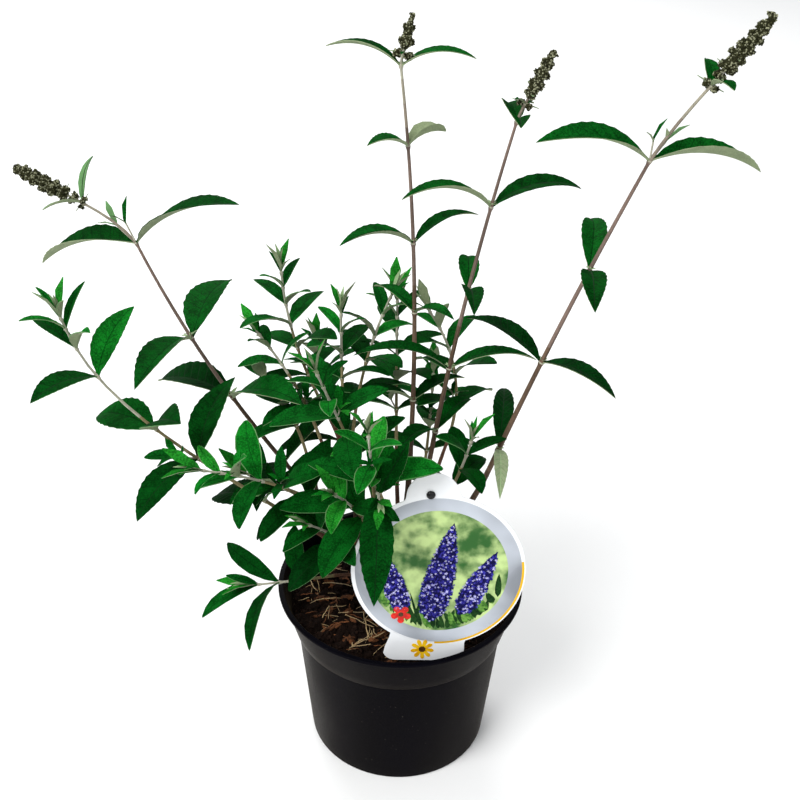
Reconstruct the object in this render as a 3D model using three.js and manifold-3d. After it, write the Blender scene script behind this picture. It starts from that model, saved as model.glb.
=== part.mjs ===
// A young butterfly bush in its black nursery pot, with the plant label that stands in the compost.
// Millimetres, +Z up. The origin is the middle of the pot's flat underside, and the front is -Y.
// Bearings are degrees round +Z from +X, and leans are degrees away from upright.
import * as THREE from 'three';
import { mergeVertices } from 'three/addons/utils/BufferGeometryUtils.js';
import Module from 'manifold-3d';

// ---- Driving dimensions ----

const GAP = 0.3;
const HALF_GAP = GAP / 2;

const POT = {
  height: 145,
  rimRadius: 95,
  lip: 2.4,
  bandHeight: 35,
  bandFootRadius: 83.5,
  ledge: 2,
  bodyRadius: 81,
  baseRadius: 71,
  wall: 1.8,
  floor: 3,
  sides: 32,
  holes: 8,
  holeRadius: 6,
  holeRing: 55,
};

const COMPOST = { level: 132, lump: 2.2, hollow: 4, seatRadius: 16, rings: 4, sides: 26 };

const LABEL = {
  radius: 62,
  thick: 1.2,
  x: 26,
  y: -63.5,
  z: 207,
  leanBack: 8,
  yaw: 0,
  crown: { radius: 19, x: -5, reach: 78.5 },
  tab: { radius: 9, width: 60, x: -9, drop: 76 },
  hole: { radius: 2.3, x: -7, up: 62 },
};

const STAKE = { width: 9, thick: 2, depth: 150, point: 16, studRadius: 1.9, headRadius: 3.2, headDome: 2.2 };

const MAIN_STEM = {
  height: 42,
  radius: 6.4,
  flare: 4.6,
  lobes: 4,
  topRadius: 3.6,
  lean: 7,
  bearing: 60,
  sides: 14,
  step: 5,
};

// The folded, curling leaves of the long shoots and the flatter ones of the leafy shoots. Widths are shares
// of the length. `out` and `tipOut` are the angles at which leaves start at a shoot's foot and at its tip,
// `curl` is how far a leaf bends from its root to its tip, and `lift` is how far the line that those angles
// are from turns from the stem towards upright.
const BLADE = {
  flowering: { width: 0.34, fold: 24, tipOut: 45, lift: 0.7 },
  leafy: { width: 0.41, fold: 14, curl: 46, out: 62, tipOut: 16, lift: 0.2 },
};

// `stations` are how wide a blade is, as a share of its widest, at shares of its length.
const LEAF = {
  thick: 1.1,
  sag: 0.4,
  stations: [[0, 0], [0.07, 0.12], [0.32, 0.9], [0.56, 0.95], [0.8, 0.5], [1, 0]],
  shortStations: [[0, 0], [0.08, 0.14], [0.42, 1], [0.72, 0.76], [1, 0]],
  shortBelow: 62,
  smallStations: [[0, 0], [0.45, 1], [1, 0]],
  smallBelow: 28,
  skyward: 0.7,
};

const TWIG = { boughSides: 6, sides: 4, step: 34, tipRadius: 0.9, tipBud: 4, axilOut: 14, slimming: 0.84 };

// A leaf that meets another is turned round its stem by the first of these that is free.
const TURNS = [0, 22, -22, 44, -44];

const SPIKE = { budRadius: 4.5, spread: 3.6, tip: 0.6, perWhorl: 2, whorlStep: 6.6, twist: 90 };

// A shoot is a bare bough and the leafy end that grows on from it. It starts `foot` along the main stem, or
// along the shoot that `on` names. `heads` are its bearing and lean at its foot, where its leaves start and
// at its tip, and `late` above 1 keeps the last bend for the end. These end in a flower spike. `pairs` has
// the turn round the stem and the length of each pair of leaves, one after each of the internodes, and
// `axil` is a small upright pair below the spike.
const FLOWERING = [
  {
    name: 'left', foot: 24, heads: [[167, 58], [159, 45], [154, 28]], bare: 104, radius: [3.3, 2.2],
    internodes: [19, 63, 54, 80], pairs: [[44, 84], [134, 104], [80, 104], [153, 100]],
    blade: { out: 68, curl: 38 }, axil: 34,
    neck: 47, nod: [170, 65], topLeaf: 34, spike: 54,
  },
  {
    name: 'middle', foot: 40, heads: [[76, 19], [83, 13], [187, 7]], bare: 98, radius: [3.2, 2.1],
    internodes: [23, 68, 52, 70, 54], pairs: [[30, 52], [134, 46], [31, 66], [25, 40], [171, 54]],
    blade: { out: 49, curl: 62 },
    neck: 8, nod: [5, 13], topLeaf: 12, spike: 28,
  },
  {
    name: 'inner_right', foot: 32, heads: [[18, 17], [28, 9], [20, 15]], bare: 92, radius: [3.2, 2.1],
    internodes: [23, 52, 60, 62, 59], pairs: [[57, 56], [10, 72], [89, 54], [30, 79], [120, 40]],
    blade: { out: 52, curl: 62 },
    neck: 12, nod: [15, 27], topLeaf: 20, spike: 38,
  },
  {
    name: 'right', foot: 22, heads: [[-4, 47], [-1, 18], [-22, 21]], bare: 118, radius: [3.5, 2.3],
    internodes: [19, 79, 77, 85], pairs: [[85, 72], [145, 63], [85, 62], [11, 73]],
    blade: { out: 62, curl: 52 }, axil: 28,
    neck: 57, nod: [-8, 35], topLeaf: 24, spike: 52,
  },
];

// Leafy shoots. Their `nodes` pairs of leaves draw closer towards the tip over the length `leafy`. A `blade`
// has what differs from the usual one.
const LEAFY = [
  {
    name: 'over_label', foot: 25, heads: [[262, 32], [243, 24], [276, 86]],
    bare: 118, radius: [2.4, 1.7], internodes: [26, 9], leaf: 86, turn: 90,
    blade: { width: 0.31 },
  },
  {
    name: 'low_left', foot: 14, heads: [[187, 54], [187, 49], [187, 12]], late: 3,
    bare: 106, radius: [3, 1.9], internodes: [25, 61, 38, 57, 25, 16, 8], leaf: 70, turn: 138,
  },
  {
    name: 'low_front', foot: 18, heads: [[228, 36], [240, 26], [238, 46]],
    bare: 78, leafy: 72, nodes: 4, leaf: 56, turn: 80,
  },
  {
    name: 'front', foot: 30, heads: [[222, 40], [268, 28], [262, 22]],
    bare: 80, leafy: 116, nodes: 5, leaf: 50, turn: 75,
  },
  {
    name: 'low_inner', foot: 11, heads: [[212, 44], [220, 36], [222, 50]],
    bare: 60, leafy: 66, nodes: 4, leaf: 54, turn: 30,
  },
  {
    name: 'low_side', foot: 10, heads: [[168, 44], [174, 46], [186, 66]],
    bare: 76, leafy: 74, nodes: 4, leaf: 54, turn: 60,
  },
  {
    name: 'front_centre', on: 'low_left', foot: 30, heads: [[214, -14], [233, 25], [219, 22]],
    bare: 88, leafy: 116, nodes: 6, leaf: 50, turn: 10,
  },
  {
    name: 'front_left', on: 'low_left', foot: 46, heads: [[232, 8], [225, 40], [196, 72]],
    bare: 60, leafy: 114, nodes: 6, leaf: 50, turn: 70,
  },
  {
    name: 'low_front_left', foot: 8, heads: [[190, 57], [201, 83], [196, 85]],
    bare: 58, leafy: 58, nodes: 3, leaf: 70, turn: 20,
  },
  {
    name: 'upper_left', on: 'left', foot: 44, heads: [[90, 24], [146, 36], [120, 8]],
    bare: 104, leafy: 108, nodes: 6, leaf: 50, turn: 50,
  },
  {
    name: 'side_left', on: 'left', foot: 62, heads: [[148, 4], [140, 26], [158, 44]],
    bare: 70, leafy: 90, nodes: 5, leaf: 46, turn: 0,
  },
  {
    name: 'mid_left', on: 'left', foot: 83, heads: [[165, 12], [142, 19], [161, 48]],
    bare: 44, radius: [2, 1.4], leafy: 74, nodes: 5, leaf: 46, turn: 35,
  },
  {
    name: 'centre_left', foot: 33, heads: [[172, 48], [100, 20], [91, 12]],
    bare: 106, leafy: 98, nodes: 5, leaf: 48, turn: 54,
  },
  {
    name: 'centre_back', on: 'left', foot: 26, heads: [[150, 30], [74, 20], [41, 33]],
    bare: 98, leafy: 104, nodes: 5, leaf: 50, turn: 30,
  },
  {
    name: 'back_right', foot: 26, heads: [[58, 40], [45, 26], [147, 44]],
    bare: 104, leafy: 104, nodes: 5, leaf: 48, turn: 45,
  },
  {
    name: 'front_right', foot: 12, heads: [[-24, 18], [-10, 24], [-21, 12]],
    bare: 84, leafy: 64, nodes: 4, leaf: 48, turn: 15,
  },
  {
    name: 'back', foot: 28, heads: [[98, 44], [92, 30], [90, 18]],
    bare: 92, leafy: 112, nodes: 6, leaf: 54, turn: 25,
  },
  {
    name: 'back_left', foot: 16, heads: [[128, 56], [124, 40], [120, 22]],
    bare: 90, leafy: 104, nodes: 6, leaf: 54, turn: 75,
  },
  {
    name: 'right_back', foot: 14, heads: [[70, 56], [78, 38], [84, 24]],
    bare: 80, leafy: 84, nodes: 5, leaf: 50, turn: 5,
  },
];

const COLOURS = {
  pot: [0x1b1c1e, 0.45],
  compost: [0x33241a, 0.95],
  label: [0xd9dcdf, 0.35],
  stake: [0x101113, 0.4],
  bark: [0x7a6552, 0.85],
  leaf: [0x1f5a22, 0.6],
};

// ---- Solids ----

const wasm = await Module();
wasm.setup();

const UP = new THREE.Vector3(0, 0, 1);
const BACK = new THREE.Vector3(0, 1, 0);
const radians = THREE.MathUtils.degToRad;
const mix = THREE.MathUtils.lerp;

// A closed three.js geometry as a solid, without the triangles with no area at a lathe's poles.
function solidOf(geometry) {
  const bare = geometry.clone();
  for (const extra of ['normal', 'uv']) bare.deleteAttribute(extra);
  const merged = mergeVertices(bare, 1e-4);
  const corners = merged.index.array;
  const triVerts = [];
  for (let i = 0; i < corners.length; i += 3) {
    const [a, b, c] = [corners[i], corners[i + 1], corners[i + 2]];
    if (a !== b && b !== c && c !== a) triVerts.push(a, b, c);
  }
  return new wasm.Manifold(
    new wasm.Mesh({
      numProp: 3,
      vertProperties: new Float32Array(merged.attributes.position.array),
      triVerts: new Uint32Array(triVerts),
    }),
  );
}

function geometryOf(solid) {
  const mesh = solid.getMesh();
  const geometry = new THREE.BufferGeometry();
  geometry.setAttribute('position', new THREE.BufferAttribute(new Float32Array(mesh.vertProperties), 3));
  geometry.setIndex(new THREE.BufferAttribute(new Uint32Array(mesh.triVerts), 1));
  geometry.computeVertexNormals();
  return geometry;
}

function namedMesh(name, solid, [color, roughness]) {
  const material = new THREE.MeshStandardMaterial({ color, roughness, metalness: 0, flatShading: true });
  const mesh = new THREE.Mesh(geometryOf(solid), material);
  mesh.name = name;
  return mesh;
}

// Moves every corner of a geometry to where `place` says.
function reshape(geometry, place) {
  const position = geometry.attributes.position;
  const corner = new THREE.Vector3();
  for (let i = 0; i < position.count; i += 1) {
    corner.fromBufferAttribute(position, i);
    place(corner);
    position.setXYZ(i, corner.x, corner.y, corner.z);
  }
  return geometry;
}

// A profile of [radius, height] points turned round the Z axis.
function turned(profile, sides) {
  const points = profile.map(([radius, height]) => new THREE.Vector2(radius, height));
  return new THREE.LatheGeometry(points, sides).rotateX(Math.PI / 2);
}

function seededDraws(seed) {
  let state = seed >>> 0;
  return () => {
    state = (Math.imul(state, 1664525) + 1013904223) >>> 0;
    return state / 2 ** 32;
  };
}

// ---- Pot ----

// The pot's inner wall at a height, which the compost keeps clear of.
function innerRadius(height) {
  const bandFoot = POT.height - POT.bandHeight;
  const bodyTop = bandFoot - POT.ledge;
  if (height < bodyTop) return mix(POT.baseRadius, POT.bodyRadius, height / bodyTop) - POT.wall;
  if (height < bandFoot) {
    return mix(POT.bodyRadius, POT.bandFootRadius, (height - bodyTop) / POT.ledge) - POT.wall;
  }
  return mix(POT.bandFootRadius, POT.rimRadius - POT.lip, (height - bandFoot) / POT.bandHeight) - POT.wall;
}

function potSolid() {
  const bandFoot = POT.height - POT.bandHeight;
  const bodyTop = bandFoot - POT.ledge;
  const bandTop = POT.height - POT.lip;
  const outside = [
    [0, 0],
    [POT.baseRadius - 1.5, 0],
    [POT.baseRadius, 1.5],
    [POT.bodyRadius, bodyTop],
    [POT.bandFootRadius, bandFoot],
    [POT.rimRadius - POT.lip, bandTop - 1],
    [POT.rimRadius, bandTop],
    [POT.rimRadius, POT.height - 0.6],
    [POT.rimRadius - 0.8, POT.height],
  ];
  const inside = [
    [innerRadius(POT.height), POT.height],
    [innerRadius(bandFoot), bandFoot],
    [innerRadius(bodyTop), bodyTop],
    [innerRadius(POT.floor), POT.floor],
    [0, POT.floor],
  ];
  let pot = solidOf(turned([...outside, ...inside], POT.sides));
  for (let i = 0; i < POT.holes; i += 1) {
    const angle = ((i + 0.5) * 2 * Math.PI) / POT.holes;
    const hole = new THREE.CylinderGeometry(POT.holeRadius, POT.holeRadius, 4 * POT.floor, 8)
      .rotateX(Math.PI / 2)
      .translate(POT.holeRing * Math.cos(angle), POT.holeRing * Math.sin(angle), 0);
    pot = pot.subtract(solidOf(hole));
  }
  return pot;
}

// ---- Compost ----

// The compost's top: lumpy, a little lower round the edge, and flat where the main stem stands.
function compostHeight(x, y) {
  const radius = Math.hypot(x, y);
  const away = THREE.MathUtils.smoothstep(radius, COMPOST.seatRadius, 2 * COMPOST.seatRadius);
  const lumps = Math.sin(x * 0.16 + 1) * Math.cos(y * 0.19) + 0.6 * Math.sin(x * 0.31 - y * 0.27);
  const edge = (radius / POT.rimRadius) ** 2;
  return COMPOST.level - GAP + away * (COMPOST.lump * (lumps - 1.6) - COMPOST.hollow * edge * 0.5);
}

function compostSolid(cutters) {
  const base = POT.floor + GAP;
  const ledgeTop = POT.height - POT.bandHeight;
  const topRadius = innerRadius(COMPOST.level - 2 * COMPOST.hollow) - 2 * GAP;
  const profile = [[0, base]];
  for (const height of [base, ledgeTop - POT.ledge, ledgeTop]) {
    profile.push([innerRadius(height) - 2 * GAP, height]);
  }
  for (let ring = COMPOST.rings; ring >= 0; ring -= 1) {
    profile.push([(topRadius * ring) / COMPOST.rings, COMPOST.level]);
  }
  const compost = reshape(turned(profile, COMPOST.sides), (corner) => {
    if (corner.z === COMPOST.level) corner.z = compostHeight(corner.x, corner.y);
  });
  return cutters.reduce((solid, cutter) => solid.subtract(cutter), solidOf(compost));
}

// ---- Label ----

// Moves a label piece, drawn face up round the disc's middle, to where the label leans.
function placeLabel(geometry) {
  return geometry
    .rotateX(radians(90 - LABEL.leanBack))
    .rotateZ(radians(LABEL.yaw))
    .translate(LABEL.x, LABEL.y, LABEL.z);
}

function flatShape(shape, thick, curveSegments) {
  return new THREE.ExtrudeGeometry(shape, { depth: thick, bevelEnabled: false, curveSegments });
}

function disc(x, y, radius) {
  return new THREE.Shape().absarc(x, y, radius, 0, 2 * Math.PI);
}

function labelSolid() {
  const { crown, tab, hole } = LABEL;
  const half = tab.width / 2 - tab.radius;
  const tabY = -tab.drop + tab.radius;
  const bar = new THREE.Shape()
    .absarc(tab.x + half, tabY, tab.radius, -Math.PI / 2, Math.PI / 2)
    .absarc(tab.x - half, tabY, tab.radius, Math.PI / 2, (3 * Math.PI) / 2);
  const pieces = [
    flatShape(disc(0, 0, LABEL.radius), LABEL.thick, 16),
    flatShape(disc(crown.x, crown.reach - crown.radius, crown.radius), LABEL.thick, 10),
    flatShape(bar, LABEL.thick, 6),
  ];
  const cutter = flatShape(disc(hole.x, hole.up, hole.radius), 3 * LABEL.thick, 10);
  cutter.translate(0, 0, -LABEL.thick);
  const [first, ...others] = pieces.map((piece) => solidOf(placeLabel(piece)));
  return others.reduce((solid, piece) => solid.add(piece), first).subtract(solidOf(placeLabel(cutter)));
}

// The stake stands behind the label, and its stud comes through the hole.
function stakeSolid(grow) {
  const { hole } = LABEL;
  const half = STAKE.width / 2 + grow;
  const top = hole.up + STAKE.width / 2;
  const foot = top - STAKE.depth;
  const blade = new THREE.Shape()
    .moveTo(hole.x - half, top + grow)
    .lineTo(hole.x - half, foot + STAKE.point)
    .lineTo(hole.x, foot - grow)
    .lineTo(hole.x + half, foot + STAKE.point)
    .lineTo(hole.x + half, top + grow);
  const back = -GAP - STAKE.thick - grow;
  const bladeSolid = solidOf(placeLabel(flatShape(blade, STAKE.thick + 2 * grow, 4).translate(0, 0, back)));
  if (grow > 0) return bladeSolid;
  const face = LABEL.thick + GAP;
  const stud = turned(
    [
      [0, back + STAKE.thick / 2],
      [STAKE.studRadius, back + STAKE.thick / 2],
      [STAKE.studRadius, face],
      [STAKE.headRadius, face],
      [STAKE.headRadius * 0.8, face + STAKE.headDome * 0.7],
      [0, face + STAKE.headDome],
    ],
    12,
  ).translate(hole.x, hole.up, 0);
  return bladeSolid.add(solidOf(placeLabel(stud)));
}

// ---- Stems ----

function heading([bearing, lean]) {
  const out = Math.sin(radians(lean));
  return new THREE.Vector3(
    out * Math.cos(radians(bearing)),
    out * Math.sin(radians(bearing)),
    Math.cos(radians(lean)),
  );
}

// A stem's centre line, which turns from one heading to the next over each of its stretches.
class StemLine {
  constructor(foot) {
    this.points = [foot.clone()];
    this.lengths = [0];
  }

  grow(from, to, length, late = 1, steps = 12) {
    const [start, end] = [heading(from), heading(to)];
    for (let i = 0; i < steps; i += 1) {
      const way = start.clone().lerp(end, ((i + 0.5) / steps) ** late).normalize();
      this.points.push(this.points.at(-1).clone().addScaledVector(way, length / steps));
      this.lengths.push(this.lengths.at(-1) + length / steps);
    }
    return this;
  }

  get length() {
    return this.lengths.at(-1);
  }

  segment(distance) {
    const found = this.lengths.findIndex((length) => length > distance);
    return found < 0 ? this.lengths.length - 2 : Math.max(found - 1, 0);
  }

  at(distance) {
    const i = this.segment(distance);
    const part = (distance - this.lengths[i]) / (this.lengths[i + 1] - this.lengths[i]);
    return this.points[i].clone().lerp(this.points[i + 1], part);
  }

  way(distance) {
    const i = this.segment(distance);
    return this.points[i + 1].clone().sub(this.points[i]).normalize();
  }
}

// The two directions across a stem: from the bush's left to its right, and from its front to its back.
function acrossStem(way) {
  const side = new THREE.Vector3().crossVectors(BACK, way).normalize();
  return [side, new THREE.Vector3().crossVectors(way, side)];
}

// A closed cylinder bent along a stem line, with a ring of corners at each of the distances in `stations`.
function limbSolid(line, stations, sides, radiusAt) {
  const steps = stations.length - 1;
  return solidOf(
    reshape(new THREE.CylinderGeometry(1, 1, 1, sides, steps), (corner) => {
      const distance = stations[Math.round((corner.y + 0.5) * steps)];
      const [side, above] = acrossStem(line.way(distance));
      const [across, along] = [-corner.x, corner.z];
      const radius = radiusAt(distance, Math.atan2(along, across));
      corner
        .copy(line.at(distance))
        .addScaledVector(side, across * radius)
        .addScaledVector(above, along * radius);
    }),
  );
}

// Distances from `start` to `end` through all of `stops`, no more than about `step` apart.
function stationsThrough(start, stops, end, step) {
  const stations = [start];
  for (const stop of [...stops, end]) {
    const from = stations.at(-1);
    const count = Math.max(1, Math.round((stop - from) / step));
    for (let i = 1; i <= count; i += 1) stations.push(mix(from, stop, i / count));
  }
  return stations;
}

const mainLine = new StemLine(new THREE.Vector3(0, 0, COMPOST.level)).grow(
  [MAIN_STEM.bearing, 0],
  [MAIN_STEM.bearing, MAIN_STEM.lean],
  MAIN_STEM.height,
);

// The woody foot of the bush: a lobed flare at the compost, and a rounded top.
function mainStemSolid(grow) {
  const stations = stationsThrough(0, [], mainLine.length, MAIN_STEM.step);
  return limbSolid(mainLine, stations, MAIN_STEM.sides, (distance, angle) => {
    const part = distance / mainLine.length;
    const flare = MAIN_STEM.flare * Math.exp(-6 * part) * (1 + 0.35 * Math.cos(MAIN_STEM.lobes * angle));
    const top = mix(MAIN_STEM.radius, MAIN_STEM.topRadius, THREE.MathUtils.smoothstep(part, 0.85, 1));
    return top + flare + grow;
  });
}

// Adds a shoot's stem line, where its pairs of leaves sit, and how long and how steep they are.
function layOut(shoot, order, parentLine) {
  const flowering = shoot.spike > 0;
  const [footRadius, budRadius] = shoot.radius ?? [2.5, 1.5];
  const internodes = shoot.internodes ?? drawingCloser(shoot.leafy, shoot.nodes);
  const leafy = internodes.reduce((sum, internode) => sum + internode, 0);
  const [atFoot, atLeaves, atTip] = shoot.heads;
  const line = new StemLine(parentLine.at(shoot.foot))
    .grow(atFoot, atLeaves, shoot.bare)
    .grow(atLeaves, atTip, leafy, shoot.late);
  if (flowering) {
    line.grow(atTip, shoot.nod, shoot.neck, 0.4, 4).grow(shoot.nod, shoot.nod, shoot.spike, 1, 4);
  } else {
    line.grow(atTip, atTip, TWIG.tipBud, 1, 1);
  }
  const blade = { ...(flowering ? BLADE.flowering : BLADE.leafy), ...shoot.blade };
  const nodes = [];
  let distance = shoot.bare;
  internodes.forEach((internode, i) => {
    distance += internode;
    const part = (i + 1) / internodes.length;
    const [turn, leaf] = flowering ? shoot.pairs[i] : [shoot.turn + 90 * i, shoot.leaf * leafySize(part)];
    nodes.push({ distance, turn, leaf, out: mix(blade.out, blade.tipOut, flowering ? 0 : part ** 2) });
  });
  if (flowering) {
    const turn = shoot.pairs.at(-1)[0] + 90;
    if (shoot.axil) nodes.push({ distance, turn, leaf: shoot.axil, out: TWIG.axilOut });
    nodes.push({ distance: distance + shoot.neck, turn, leaf: shoot.topLeaf, out: blade.tipOut });
  }
  return { ...shoot, flowering, blade, footRadius, budRadius, line, nodes, seed: 101 + 17 * order };
}

// Internodes that each are TWIG.slimming times the one below, over a whole length.
function drawingCloser(length, count) {
  const steps = Array.from({ length: count }, (_, i) => TWIG.slimming ** i);
  const sum = steps.reduce((total, step) => total + step, 0);
  return steps.map((step) => (step * length) / sum);
}

// A leafy shoot's leaves are longest a third of the way up, and short round its tip.
function leafySize(part) {
  return mix(0.86 + 0.14 * Math.sin(Math.PI * Math.min(1, 1.5 * part)), 0.36, part ** 3);
}

function stemRadius(shoot, distance) {
  if (distance <= shoot.bare) return mix(shoot.footRadius, shoot.budRadius, distance / shoot.bare);
  const part = (distance - shoot.bare) / (shoot.line.length - shoot.bare);
  return mix(shoot.budRadius, TWIG.tipRadius, part);
}

// A shoot's bare bough, or the room that it needs.
function boughSolid(shoot, grow) {
  const stations = stationsThrough(0, [], shoot.bare - HALF_GAP + grow, TWIG.step);
  return limbSolid(shoot.line, stations, TWIG.boughSides, (distance) => stemRadius(shoot, distance) + grow);
}

// ---- Leaves ----

// How a leaf runs: it starts at `out` degrees from near the stem's way, then curls away from it and sags.
function leafFrame(shoot, node, sign, turn, length) {
  const way = shoot.line.way(node.distance).addScaledVector(UP, shoot.blade.lift).normalize();
  const [side, above] = acrossStem(way);
  const angle = radians(node.turn + turn);
  const outward = side.multiplyScalar(sign * Math.cos(angle)).addScaledVector(above, sign * Math.sin(angle));
  const start = way.clone().multiplyScalar(Math.cos(radians(node.out)));
  start.addScaledVector(outward, Math.sin(radians(node.out)));
  const pull = way.clone().negate().addScaledVector(UP, -LEAF.sag);
  const bendWay = pull.addScaledVector(start, -pull.dot(start)).normalize();
  const face = way.clone().addScaledVector(UP, LEAF.skyward);
  const across = new THREE.Vector3().crossVectors(start, face).normalize();
  const root = shoot.line.at(node.distance);
  const bend = radians(shoot.blade.curl);
  const fold = radians(shoot.blade.fold);
  return { root, start, bendWay, bend, fold, across, length, halfWidth: (length * shoot.blade.width) / 2 };
}

// A closed blade of four-sided sections, folded up along its midrib, that tapers to both ends.
function leafSolid(frame, from, grow) {
  let stations = frame.length < LEAF.shortBelow ? LEAF.shortStations : LEAF.stations;
  if (frame.length < LEAF.smallBelow) stations = LEAF.smallStations;
  stations = stations.filter(([part]) => part >= from);
  const profile = stations.map(
    ([part, width]) => new THREE.Vector2(width > 0 ? width * frame.halfWidth + grow : 0, part),
  );
  if (profile[0].x > 0) profile.unshift(new THREE.Vector2(0, profile[0].y - 0.02));
  const blade = new THREE.LatheGeometry(profile, 4);
  const halfThick = Math.min(LEAF.thick / 2, frame.length * 0.025) + grow;
  reshape(blade, (corner) => {
    const [across, part, thick] = [corner.x, corner.y, Math.sign(Math.round(corner.z * 1e4))];
    const angle = frame.bend * part;
    const way = frame.start.clone().multiplyScalar(Math.cos(angle));
    way.addScaledVector(frame.bendWay, Math.sin(angle));
    const wide = frame.across.clone().addScaledVector(way, -frame.across.dot(way)).normalize();
    const above = new THREE.Vector3().crossVectors(wide, way);
    const reach = frame.length / frame.bend;
    corner
      .copy(frame.root)
      .addScaledVector(frame.start, reach * Math.sin(angle))
      .addScaledVector(frame.bendWay, reach * (1 - Math.cos(angle)))
      .addScaledVector(wide, across * Math.cos(frame.fold))
      .addScaledVector(above, Math.abs(across) * Math.sin(frame.fold) + thick * halfThick);
  });
  return solidOf(blade);
}

function boxesMeet(a, b) {
  return [0, 1, 2].every((axis) => a.min[axis] <= b.max[axis] && b.min[axis] <= a.max[axis]);
}

function touches(probe, solids) {
  const box = probe.boundingBox();
  return solids.some((solid) => boxesMeet(box, solid.boundingBox()) && !probe.intersect(solid).isEmpty());
}

// The leaf in the first of TURNS that is clear of the neighbours and of its own shoot's earlier leaves.
function fittedLeaf(shoot, node, sign, length, ownLeaves, neighbours) {
  for (const turn of TURNS) {
    const frame = leafFrame(shoot, node, sign, turn, length);
    const whole = leafSolid(frame, 0, GAP);
    const outer = leafSolid(frame, 0.3, GAP);
    if (!touches(whole, neighbours) && !touches(outer, ownLeaves)) return leafSolid(frame, 0, 0);
  }
  return null;
}

// ---- Flower spikes ----

// Whorls of round bud clusters up the end of a stem, and a few on its neck.
function spikeBuds(shoot, draw) {
  const foot = shoot.line.length - shoot.spike;
  const whorls = Math.max(3, Math.round(shoot.spike / SPIKE.whorlStep));
  const buds = [];
  for (let whorl = 0; whorl < whorls; whorl += 1) {
    const part = whorl / (whorls - 1);
    const distance = foot + part * (shoot.spike - 2);
    const [side, above] = acrossStem(shoot.line.way(distance));
    const size = mix(1, SPIKE.tip, part ** 1.5);
    const count = whorl === whorls - 1 ? 1 : SPIKE.perWhorl;
    for (let i = 0; i < count; i += 1) {
      const angle = radians((360 * i) / count + SPIKE.twist * whorl);
      const spread = count === 1 ? 0 : SPIKE.spread * size;
      const radius = SPIKE.budRadius * size * mix(0.85, 1.15, draw());
      const centre = shoot.line
        .at(distance)
        .addScaledVector(side, spread * Math.cos(angle))
        .addScaledVector(above, spread * Math.sin(angle));
      buds.push(solidOf(new THREE.IcosahedronGeometry(radius, 0).translate(centre.x, centre.y, centre.z)));
    }
  }
  return buds;
}

// ---- Masses ----

// One shoot's leafy end without its leaves: its stem, and its spike if it has one.
function coreSolid(shoot) {
  const end = shoot.line.length - (shoot.flowering ? 2 : 0);
  const stops = shoot.nodes.map(({ distance }) => distance);
  const stations = stationsThrough(shoot.bare + HALF_GAP, stops, end, TWIG.step);
  const stem = limbSolid(shoot.line, stations, TWIG.sides, (distance) => stemRadius(shoot, distance));
  const buds = shoot.flowering ? spikeBuds(shoot, seededDraws(shoot.seed + 7)) : [];
  return buds.reduce((solid, bud) => solid.add(bud), stem);
}

// The core with pairs of leaves crosswise up it. A leaf that can't be turned clear of everything is left out.
function massSolid(shoot, core, neighbours) {
  const draw = seededDraws(shoot.seed);
  const leaves = [];
  for (const node of shoot.nodes) {
    for (const sign of [1, -1]) {
      const length = node.leaf * mix(0.9, 1.1, draw());
      const leaf = fittedLeaf(shoot, node, sign, length, leaves, neighbours);
      if (leaf) leaves.push(leaf);
    }
  }
  return leaves.reduce((solid, leaf) => solid.add(leaf), core);
}

// ---- Assembly ----

const mainStemRoom = mainStemSolid(GAP);
const shoots = [];
for (const shoot of [...FLOWERING, ...LEAFY]) {
  const parent = shoots.find(({ name }) => name === shoot.on);
  shoots.push(layOut(shoot, shoots.length, parent ? parent.line : mainLine));
}
const stake = stakeSolid(0);
const label = labelSolid();
const boughs = [];
for (const shoot of shoots) {
  const earlier = shoots.slice(0, boughs.length).map((other) => boughSolid(other, GAP));
  boughs.push([mainStemRoom, ...earlier].reduce((solid, room) => solid.subtract(room), boughSolid(shoot, 0)));
}
const standing = [potSolid(), label, stake, mainStemRoom, ...boughs];
const cores = shoots.map(coreSolid);
const masses = [];
for (const shoot of shoots) {
  const laterCores = cores.slice(masses.length + 1);
  masses.push(massSolid(shoot, cores[masses.length], [...standing, ...masses, ...laterCores]));
}

const group = new THREE.Group();
group.add(namedMesh('pot', standing[0], COLOURS.pot));
group.add(namedMesh('potting_compost', compostSolid([stakeSolid(GAP)]), COLOURS.compost));
group.add(namedMesh('plant_label', label, COLOURS.label));
group.add(namedMesh('label_stake', stake, COLOURS.stake));
group.add(namedMesh('main_stem', mainStemSolid(0), COLOURS.bark));
shoots.forEach((shoot, i) => {
  group.add(namedMesh(`bough_${shoot.name}`, boughs[i], COLOURS.bark));
  group.add(namedMesh(`leaves_${shoot.name}`, masses[i], COLOURS.leaf));
});

export default group;
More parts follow.
